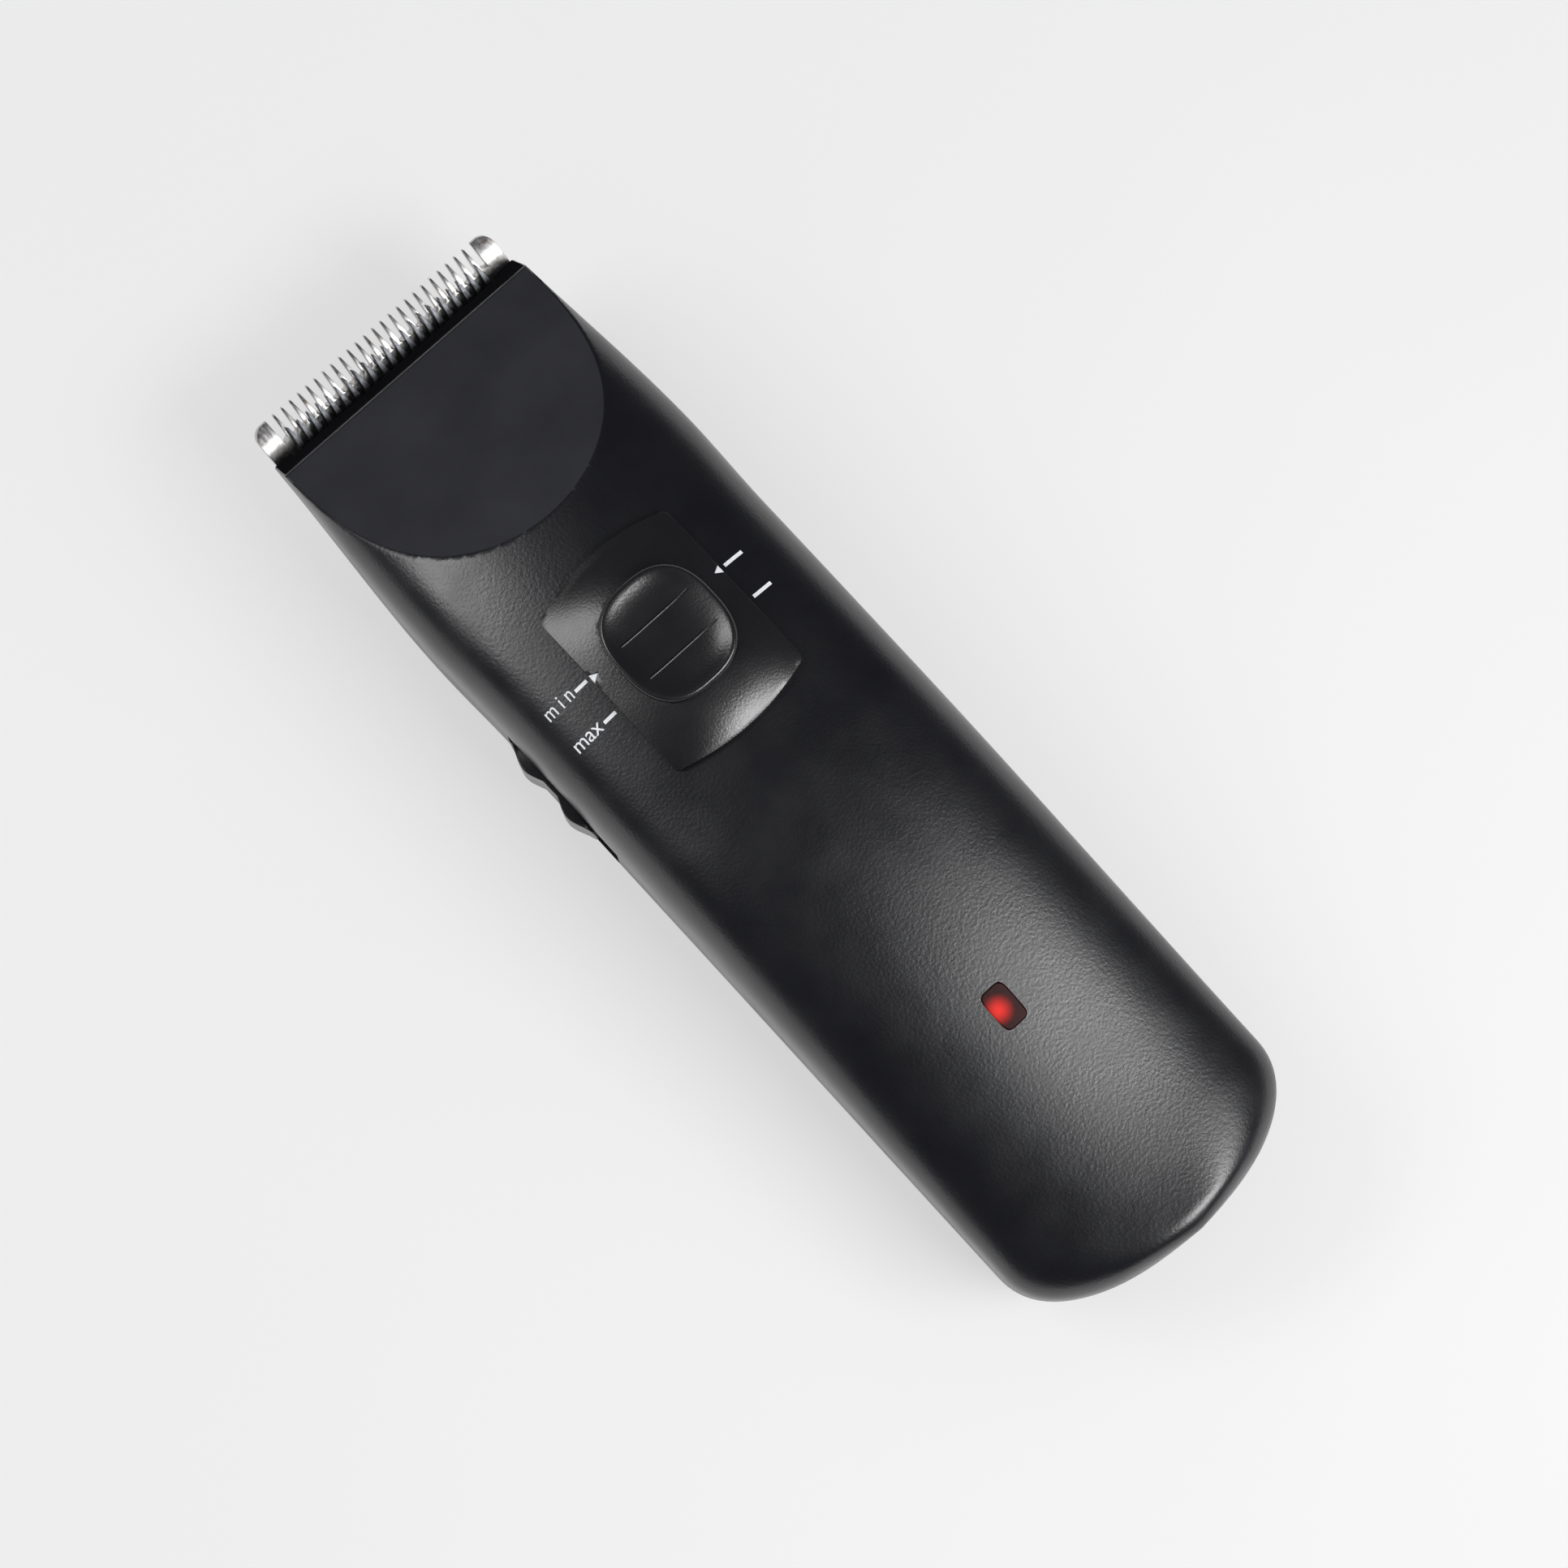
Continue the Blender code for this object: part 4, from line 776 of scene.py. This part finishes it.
def make_shells():
    form = cut(outer_form(), hollow_form())
    centre = Vector((0.0, 0.0, PARTING_Z))
    upper = link("upper_shell_fine", form.data.copy())
    cut(upper, half_space("split", centre + PARTING_NORMAL * 0.5 * GAP, -PARTING_NORMAL))
    stem = 0.5 * STEM_SIZE + RUN_GAP
    slot = box("slot", (-stem, SLIDER_Y - stem - SLIDER_TRAVEL, PARTING_Z), (stem, SLIDER_Y + stem, FAR))
    window = [(x, y + LED_Y, PARTING_Z) for x, y in
              squircle(0.5 * LENS_WIDTH + LENS_GAP, 0.5 * LENS_LENGTH + LENS_GAP, LENS_CORNER_POWER)]
    cut(upper, slot, prism("window", window, (0.0, 0.0, TOP_Z)), switch_slot(), inlet_hole())
    lower = link("lower_shell_fine", form.data.copy())
    cut(lower, half_space("split", centre - PARTING_NORMAL * 0.5 * GAP, PARTING_NORMAL))
    cut(lower, switch_slot(), inlet_hole())
    low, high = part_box("housing_screw_1")
    head = 0.5 * (high.x - low.x) + GAP
    for x, y in column_places():
        cut(lower, rod("bore", head, (x, y, -WALL), (x, y, SCREW_SEAT)))
    bpy.data.objects.remove(form)
    paint_facet(upper)
    use(lower, SATIN)
    for shell, node in ((upper, "upper_shell"), (lower, "lower_shell")):
        shade(shell)
        mount(shell, "housing", "satin_black", node)


# Controls

def pad_rim(x, y):
    """Rises from 0 in the middle of the thumb pad to 1 at its outline."""
    along = abs(y - PAD_Y) / (0.5 * PAD_LENGTH)
    across = abs(x) / (0.5 * PAD_WIDTH)
    return along ** PAD_CORNER_POWER + across ** PAD_CORNER_POWER


def slider_low(x, y):
    return max(crown_z(x, y), crown_z(x, y - SLIDER_TRAVEL)) + GAP


def slider_high(x, y):
    """Top of the plate: a swell that droops to the ends and sides, with a flat seat under the pad."""
    along = abs(y - SLIDER_Y) / (0.5 * SLIDER_LENGTH)
    across = x / (0.5 * SLIDER_WIDTH)
    swell = SLIDER_RISE * (1.0 - along ** SLIDER_RISE_POWER) * (1.0 - SLIDER_SIDE_FALL * across * across)
    if pad_rim(x, y) < PAD_SEAT_RIM:
        swell = min(swell, PAD_SEAT)
    return max(crown_z(x, y) + GAP + SLIDER_EDGE + swell, slider_low(x, y) + SLIDER_EDGE)


def notch_outline(side):
    edge = side * 0.5 * SLIDER_WIDTH
    place = NOTCH_PLACES[side]
    steep = NOTCH_HALF_WIDTH / NOTCH_DEPTH
    outside = 2.0 * NOTCH_DEPTH
    return [(edge + side * outside, place - steep * (outside + NOTCH_DEPTH)),
            (edge + side * outside, place + steep * (outside + NOTCH_DEPTH)),
            (edge - side * NOTCH_DEPTH, place)]


def make_slider_plate():
    outline = bowed_rectangle(0.5 * SLIDER_WIDTH, 0.5 * SLIDER_LENGTH, SLIDER_BOW, SLIDER_CORNER)
    plate = patch("length_slider_plate", outline, (0.0, SLIDER_Y), slider_low, slider_high, upright)
    for side in (-1.0, 1.0):
        notch = [(x, y, PARTING_Z) for x, y in notch_outline(side)]
        cut(plate, prism("notch", notch, (0.0, 0.0, TOP_Z)))
    use(plate, CONTROL)
    shade(plate, PLATE_BEVEL)
    mount(plate, "slider", "satin_black", "length_slider")
    for side, name in ((-1.0, "left"), (1.0, "right")):
        edge = side * (0.5 * SLIDER_WIDTH - PRINT_LIFT)
        tip = side * (0.5 * SLIDER_WIDTH - NOTCH_DEPTH)
        place = NOTCH_PLACES[side]
        corners = [(edge, place - NOTCH_HALF_WIDTH), (edge, place + NOTCH_HALF_WIDTH), (tip, place)]
        low = [Vector((x, y, slider_low(x, y))) for x, y in corners]
        high = [Vector((x, y, slider_high(x, y) - MARK_SINK)) for x, y in corners]
        mark = object_from("slider_mark_" + name, loft_mesh([low, high]))
        use(mark, INK)
        mount(mark, "slider", "satin_black")


def pad_low(x, y):
    return slider_high(x, y) + GAP


def pad_high(x, y):
    """Top of the pad: a shallow dish with a rounded rim."""
    rim = pad_rim(x, y)
    level = pad_low(0.0, PAD_Y) + PAD_HEIGHT
    return level + PAD_DISH * rim ** PAD_DISH_POWER - PAD_ROUND * rim ** PAD_ROUND_POWER


def make_thumb_pad():
    outline = squircle(0.5 * PAD_WIDTH, 0.5 * PAD_LENGTH, PAD_CORNER_POWER)
    pad = patch("thumb_pad_fine", outline, (0.0, PAD_Y), pad_low, pad_high, upright)
    use(pad, CONTROL)
    shade(pad, PAD_BEVEL, SOFT_SEGMENTS)
    mount(pad, "slider", "gloss_black", "thumb_pad")
    for name, offset in RIB_PLACES.items():
        y = PAD_Y + offset
        half = 0.5 * RIB_LENGTH
        rings = []
        for index in range(RIB_STEPS + 1):
            x = half * (2.0 * index / RIB_STEPS - 1.0)
            rings.append([Vector((x, y + RIB_R * math.cos(turn), pad_high(x, y) + RIB_R * math.sin(turn)))
                          for turn in RIB_TURNS])
        rib = object_from("thumb_rib_" + name, loft_mesh(rings))
        use(rib, CONTROL)
        shade(rib)
        mount(rib, "slider", "gloss_black")


def knob_low(u, v):
    return 0.5 * BODY_WIDTH - WALL - SWITCH_INSIDE


def knob_high(u, v):
    """Outer side of the switch: two humps with a dip between them."""
    along = abs(u - SWITCH_Y) / (0.5 * SWITCH_LENGTH)
    hump = math.sin(HALF_TURN * min(along, 1.0)) ** 2
    return 0.5 * BODY_WIDTH + SWITCH_PROUD + SWITCH_HUMP * hump


def make_switch_knob():
    outline = squircle(0.5 * SWITCH_LENGTH, 0.5 * SWITCH_HEIGHT, SWITCH_CORNER_POWER)
    centre = (SWITCH_Y, parting_z(SWITCH_Y))
    knob = patch("switch_knob_fine", outline, centre, knob_low, knob_high, on_left_flank)
    use(knob, CONTROL)
    shade(knob, KNOB_BEVEL, SOFT_SEGMENTS)
    mount(knob, "switch", "satin_black", "switch_knob")


def lens_low(x, y):
    return crown_z(x, y) - LENS_DEPTH


def make_lens():
    outline = squircle(0.5 * LENS_WIDTH, 0.5 * LENS_LENGTH, LENS_CORNER_POWER)
    lens = patch("led_lens_fine", outline, (0.0, LED_Y), lens_low, crown_z, upright)
    use(lens, LIT_RED)
    shade(lens, LENS_BEVEL)
    mount(lens, "housing", "red_lens", "led_lens")


# Printed marks

def drape(obj):
    """Lay a flat print on the crown."""
    for vert in obj.data.vertices:
        vert.co.z = crown_z(vert.co.x, vert.co.y) + PRINT_LIFT
    return obj


def make_tick(name, start, end, y):
    bm = bmesh.new()
    rows = []
    for side in (-0.5, 0.5):
        rows.append([bm.verts.new((start + (end - start) * index / TICK_STEPS, y + side * TICK_WIDTH, 0.0))
                     for index in range(TICK_STEPS + 1)])
    for index in range(TICK_STEPS):
        bm.faces.new((rows[0][index], rows[0][index + 1], rows[1][index + 1], rows[1][index]))
    tick = drape(object_from(name, bm))
    use(tick, INK)
    mount(tick, "housing", "satin_black")


def make_word(word, y, spacing):
    """Printed word that ends at WORD_END_X, with its middle at y."""
    curve = bpy.data.curves.new(word, "FONT")
    curve.body = word
    curve.size = WORD_SIZE
    curve.space_character = spacing
    curve.resolution_u = GLYPH_STEPS
    text = bpy.data.objects.new(word, curve)
    bpy.context.scene.collection.objects.link(text)
    bpy.context.view_layer.update()
    mesh = bpy.data.meshes.new_from_object(text.evaluated_get(bpy.context.evaluated_depsgraph_get()))
    bpy.data.objects.remove(text)
    low = min(vert.co.y for vert in mesh.vertices)
    high = max(vert.co.y for vert in mesh.vertices)
    start = min(vert.co.x for vert in mesh.vertices)
    end = max(vert.co.x for vert in mesh.vertices)
    mesh.transform(Matrix.Translation((-end, y - 0.5 * (low + high), 0.0)))
    mesh.transform(Matrix.Diagonal((WORD_WIDTH / (end - start), 1.0, 1.0, 1.0)))
    mesh.transform(Matrix.Translation((WORD_END_X, 0.0, 0.0)))
    print_piece = drape(link("print_" + word, mesh))
    use(print_piece, INK)
    mount(print_piece, "housing", "satin_black")


def make_prints():
    for word, left, right in zip(WORDS, LEFT_ROWS, RIGHT_ROWS):
        make_tick("tick_left_" + word, *LEFT_TICK, left)
        make_tick("tick_right_" + word, *RIGHT_TICK, right)
        make_word(word, *WORDS[word])


# Blades

def toothed_edge(count, pitch, root_y, tip_y, root_width, tip_width, tip_steps):
    """Row of tapered teeth with round tips and round gap roots, from right to left."""
    points = []
    gap = pitch - root_width
    for index in range(count):
        x = (0.5 * (count - 1) - index) * pitch
        radius = 0.5 * tip_width
        points.append((x + 0.5 * root_width, root_y + 0.5 * gap))
        for step in range(tip_steps + 1):
            angle = HALF_TURN * step / tip_steps
            points.append((x + radius * math.cos(angle), tip_y - radius + radius * math.sin(angle)))
        points.append((x - 0.5 * root_width, root_y + 0.5 * gap))
        if index < count - 1:
            for step in range(1, tip_steps):
                angle = HALF_TURN * step / tip_steps
                centre = x - 0.5 * pitch
                points.append((centre + 0.5 * gap * math.cos(angle),
                               root_y + 0.5 * gap * (1.0 - math.sin(angle))))
    return points


def post_edge(root_y):
    """Outline of the right end post, from its outer side round to the first gap."""
    half = 0.5 * COMB_WIDTH
    points = []
    for index in range(POST_STEPS + 1):
        angle = 0.5 * HALF_TURN * index / POST_STEPS
        points.append((half - POST_ROUND + POST_ROUND * math.cos(angle),
                       COMB_LENGTH - POST_ROUND + POST_ROUND * math.sin(angle)))
    points.append((half - POST_WIDTH, COMB_LENGTH))
    points.append((half - POST_WIDTH, root_y))
    return points


def make_comb():
    """Fixed comb, whose teeth thin towards their tips."""
    root_y = COMB_LENGTH - COMB_TOOTH_LENGTH
    rear = 0.5 * COMB_REAR_WIDTH
    right = post_edge(root_y)
    left = [(-x, y) for x, y in reversed(right)]
    teeth = toothed_edge(COMB_TEETH, COMB_PITCH_X, root_y, COMB_LENGTH, COMB_TOOTH_ROOT, COMB_TOOTH_TIP,
                         COMB_TIP_STEPS)
    outline = [(-rear, 0.0), (rear, 0.0), (0.5 * COMB_WIDTH, COMB_SHOULDER_Y)] + right + teeth + left
    outline.append((-0.5 * COMB_WIDTH, COMB_SHOULDER_Y))
    bm = loft_mesh([[Vector((x, y, z)) for x, y in outline] for z in (0.0, COMB_THICK)])
    bisect(bm, Vector((0.0, root_y, 0.0)), Vector((0.0, 1.0, 0.0)))
    for share in COMB_CURVE:
        bisect(bm, Vector((0.0, root_y + share * COMB_TOOTH_LENGTH, 0.0)), Vector((0.0, 1.0, 0.0)))
    for vert in bm.verts:
        share = (vert.co.y - root_y) / COMB_TOOTH_LENGTH
        if vert.co.z > 0.5 * COMB_THICK and share > 0.0:
            vert.co.z -= (COMB_THICK - COMB_TIP_THICK) * share * share
    comb = in_head_frame(object_from("comb_blade_fine", bm))
    use(comb, BLADE)
    shade(comb, COMB_BEVEL)
    mount(comb, "blade_head", "blade_steel", "comb_blade")


def make_cutter():
    root_y = CUTTER_TIP - CUTTER_TOOTH_LENGTH
    half = 0.5 * CUTTER_WIDTH
    teeth = toothed_edge(CUTTER_TEETH, CUTTER_PITCH_X, root_y, CUTTER_TIP, CUTTER_TOOTH_ROOT,
                         CUTTER_TOOTH_TIP, CUTTER_TIP_STEPS)
    outline = [(-half, CUTTER_REAR), (half, CUTTER_REAR)] + teeth
    low = [Vector((x, y, CUTTER_Z)) for x, y in outline]
    high = [point + Vector((0.0, 0.0, CUTTER_THICK)) for point in low]
    cutter = in_head_frame(object_from("cutter_blade_fine", loft_mesh([low, high])))
    # Darkened steel on the cutter: painted shade.
    use(cutter, PAINTED_SHADE_CUTTER)
    shade(cutter, CUTTER_BEVEL)
    mount(cutter, "cutter", "blade_steel", "cutter_blade")


# Pieces that keep their solid

def dress_solids():
    looks = {
        "housing_screw_1": PLAIN, "housing_screw_2": PLAIN, "housing_screw_3": PLAIN, "housing_screw_4": PLAIN,
        "chassis": GREY, "motor_can": PLAIN, "battery_cell": WRAP, "battery_tab_front": PLAIN,
        "battery_tab_rear": PLAIN, "circuit_board": GREEN, "status_led": RED, "charge_socket": GLOSS,
        "switch_module": GLOSS, "motor_shaft": PLAIN, "eccentric": PALE, "slider_retainer": GREY,
        "taper_link": PLAIN, "switch_carrier": CONTROL, "blade_base": GLOSS, "blade_screw_left": PLAIN,
        "blade_screw_right": PLAIN, "cutter_carriage": PALE, "cutter_spring": PLAIN, "drive_lever": PALE,
    }
    for node, look in looks.items():
        use(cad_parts[node], look)


# Studio

def seen_ray(tree, rays):
    """Output that is 1 for the named kinds of ray and 0 for all others."""
    path = tree.nodes.new("ShaderNodeLightPath")
    total = path.outputs[rays[0]]
    for ray in rays[1:]:
        add = tree.nodes.new("ShaderNodeMath")
        add.operation = "ADD"
        add.use_clamp = True
        tree.links.new(total, add.inputs[0])
        tree.links.new(path.outputs[ray], add.inputs[1])
        total = add.outputs[0]
    return total


def make_floor():
    """Pale ground that keeps the shadow; from below it is clear, so that the underside can be seen."""
    bm = bmesh.new()
    bmesh.ops.create_grid(bm, x_segments=1, y_segments=1, size=FLOOR_HALF)
    mesh = bpy.data.meshes.new("floor")
    bm.to_mesh(mesh)
    bm.free()
    floor = link("floor", mesh)
    floor.location.z = -FLOOR_GAP
    tree = Tree("pale_floor")
    tree.set(Roughness=0.85, Specular_IOR_Level=0.1, Emission_Color=(1.0, 1.0, 1.0, 1.0))
    tone = tree.ramp(tree.noise(FLOOR_SCALE), [(NOISE_LOW, FLOOR_TONES[0]), (NOISE_HIGH, FLOOR_TONES[1])])
    tree.join(tone, tree.shader.inputs["Base Color"])
    glow = tree.add("ShaderNodeMath", operation="MULTIPLY")
    tree.join(seen_ray(tree.material.node_tree, SEEN_RAYS), glow.inputs[0])
    glow.inputs[1].default_value = FLOOR_GLOW
    tree.join(glow.outputs[0], tree.shader.inputs["Emission Strength"])
    sides = tree.add("ShaderNodeMixShader")
    tree.join(tree.add("ShaderNodeNewGeometry").outputs["Backfacing"], sides.inputs[0])
    tree.join(tree.shader.outputs[0], sides.inputs[1])
    tree.join(tree.add("ShaderNodeBsdfTransparent").outputs[0], sides.inputs[2])
    tree.join(sides.outputs[0], tree.nodes["Material Output"].inputs["Surface"])
    use(floor, tree.material)


def make_world():
    """Pale backdrop for the camera, a dark ceiling over a pale horizon in reflections, and an even fill."""
    world = bpy.data.worlds.new("studio")
    bpy.context.scene.world = world
    world.use_nodes = True
    nodes = world.node_tree.nodes
    links = world.node_tree.links
    back = nodes["Background"]
    place = nodes.new("ShaderNodeTexCoord")
    split = nodes.new("ShaderNodeSeparateXYZ")
    links.new(place.outputs["Generated"], split.inputs[0])
    sky = nodes.new("ShaderNodeValToRGB")
    sky.color_ramp.elements[0].position = 0.0
    sky.color_ramp.elements[0].color = (*PALE_SKY, 1.0)
    sky.color_ramp.elements[1].position = HORIZON_RISE
    sky.color_ramp.elements[1].color = (*DARK_CEILING, 1.0)
    links.new(split.outputs["Z"], sky.inputs["Fac"])
    room = nodes.new("ShaderNodeMix")
    room.data_type = "RGBA"
    links.new(seen_ray(world.node_tree, SEEN_RAYS), room.inputs["Factor"])
    room.inputs["A"].default_value = (*AMBIENT, 1.0)
    links.new(sky.outputs["Color"], room.inputs["B"])
    backdrop = nodes.new("ShaderNodeMix")
    backdrop.data_type = "RGBA"
    links.new(seen_ray(world.node_tree, SEEN_RAYS[:1]), backdrop.inputs["Factor"])
    links.new(room.outputs["Result"], backdrop.inputs["A"])
    backdrop.inputs["B"].default_value = (*PALE_SKY, 1.0)
    links.new(backdrop.outputs["Result"], back.inputs["Color"])


def softbox(name, aim, direction, distance, size, power):
    """Soft lamp seen from a point in a direction, with one edge along the clipper's width."""
    light = bpy.data.lights.new(name, "AREA")
    light.shape = "RECTANGLE"
    light.size = size[0]
    light.size_y = size[1]
    light.energy = power
    lamp = bpy.data.objects.new(name, light)
    bpy.context.scene.collection.objects.link(lamp)
    away = Vector(direction).normalized()
    across = (Vector((1.0, 0.0, 0.0)) - away * away.x).normalized()
    turn = Matrix((across, away.cross(across), away)).transposed().to_4x4()
    lamp.matrix_world = Matrix.Translation(Vector(aim) + away * distance) @ turn


def make_lights():
    softbox("front_left_window", aim=(0.0, 0.0, 0.03), direction=(-0.48, 0.46, 0.75), distance=0.75,
            size=(0.50, 0.22), power=1.65)
    softbox("rear_right_window", aim=(0.0, -0.09, 0.03), direction=(0.27, -0.56, 0.78), distance=0.50,
            size=(0.29, 0.21), power=1.75)


def make_camera():
    camera = bpy.data.cameras.new("camera")
    camera.lens = CAMERA_LENS
    camera.sensor_width = SENSOR_WIDTH
    camera.clip_start = CAMERA_CLIP
    eye = bpy.data.objects.new("camera", camera)
    bpy.context.scene.collection.objects.link(eye)
    level = math.cos(CAMERA_ELEVATION)
    back = Vector((math.sin(CAMERA_AZIMUTH) * level, -math.cos(CAMERA_AZIMUTH) * level,
                   math.sin(CAMERA_ELEVATION)))
    eye.location = CAMERA_TARGET + back * CAMERA_DISTANCE
    eye.rotation_mode = "QUATERNION"
    eye.rotation_quaternion = (-back).to_track_quat("-Z", "Y")
    bpy.context.scene.camera = eye


make_shells()
make_slider_plate()
make_thumb_pad()
make_switch_knob()
make_lens()
make_prints()
make_comb()
make_cutter()
dress_solids()
make_floor()
make_world()
make_lights()
make_camera()
bpy.context.scene.view_settings.view_transform = "Standard"
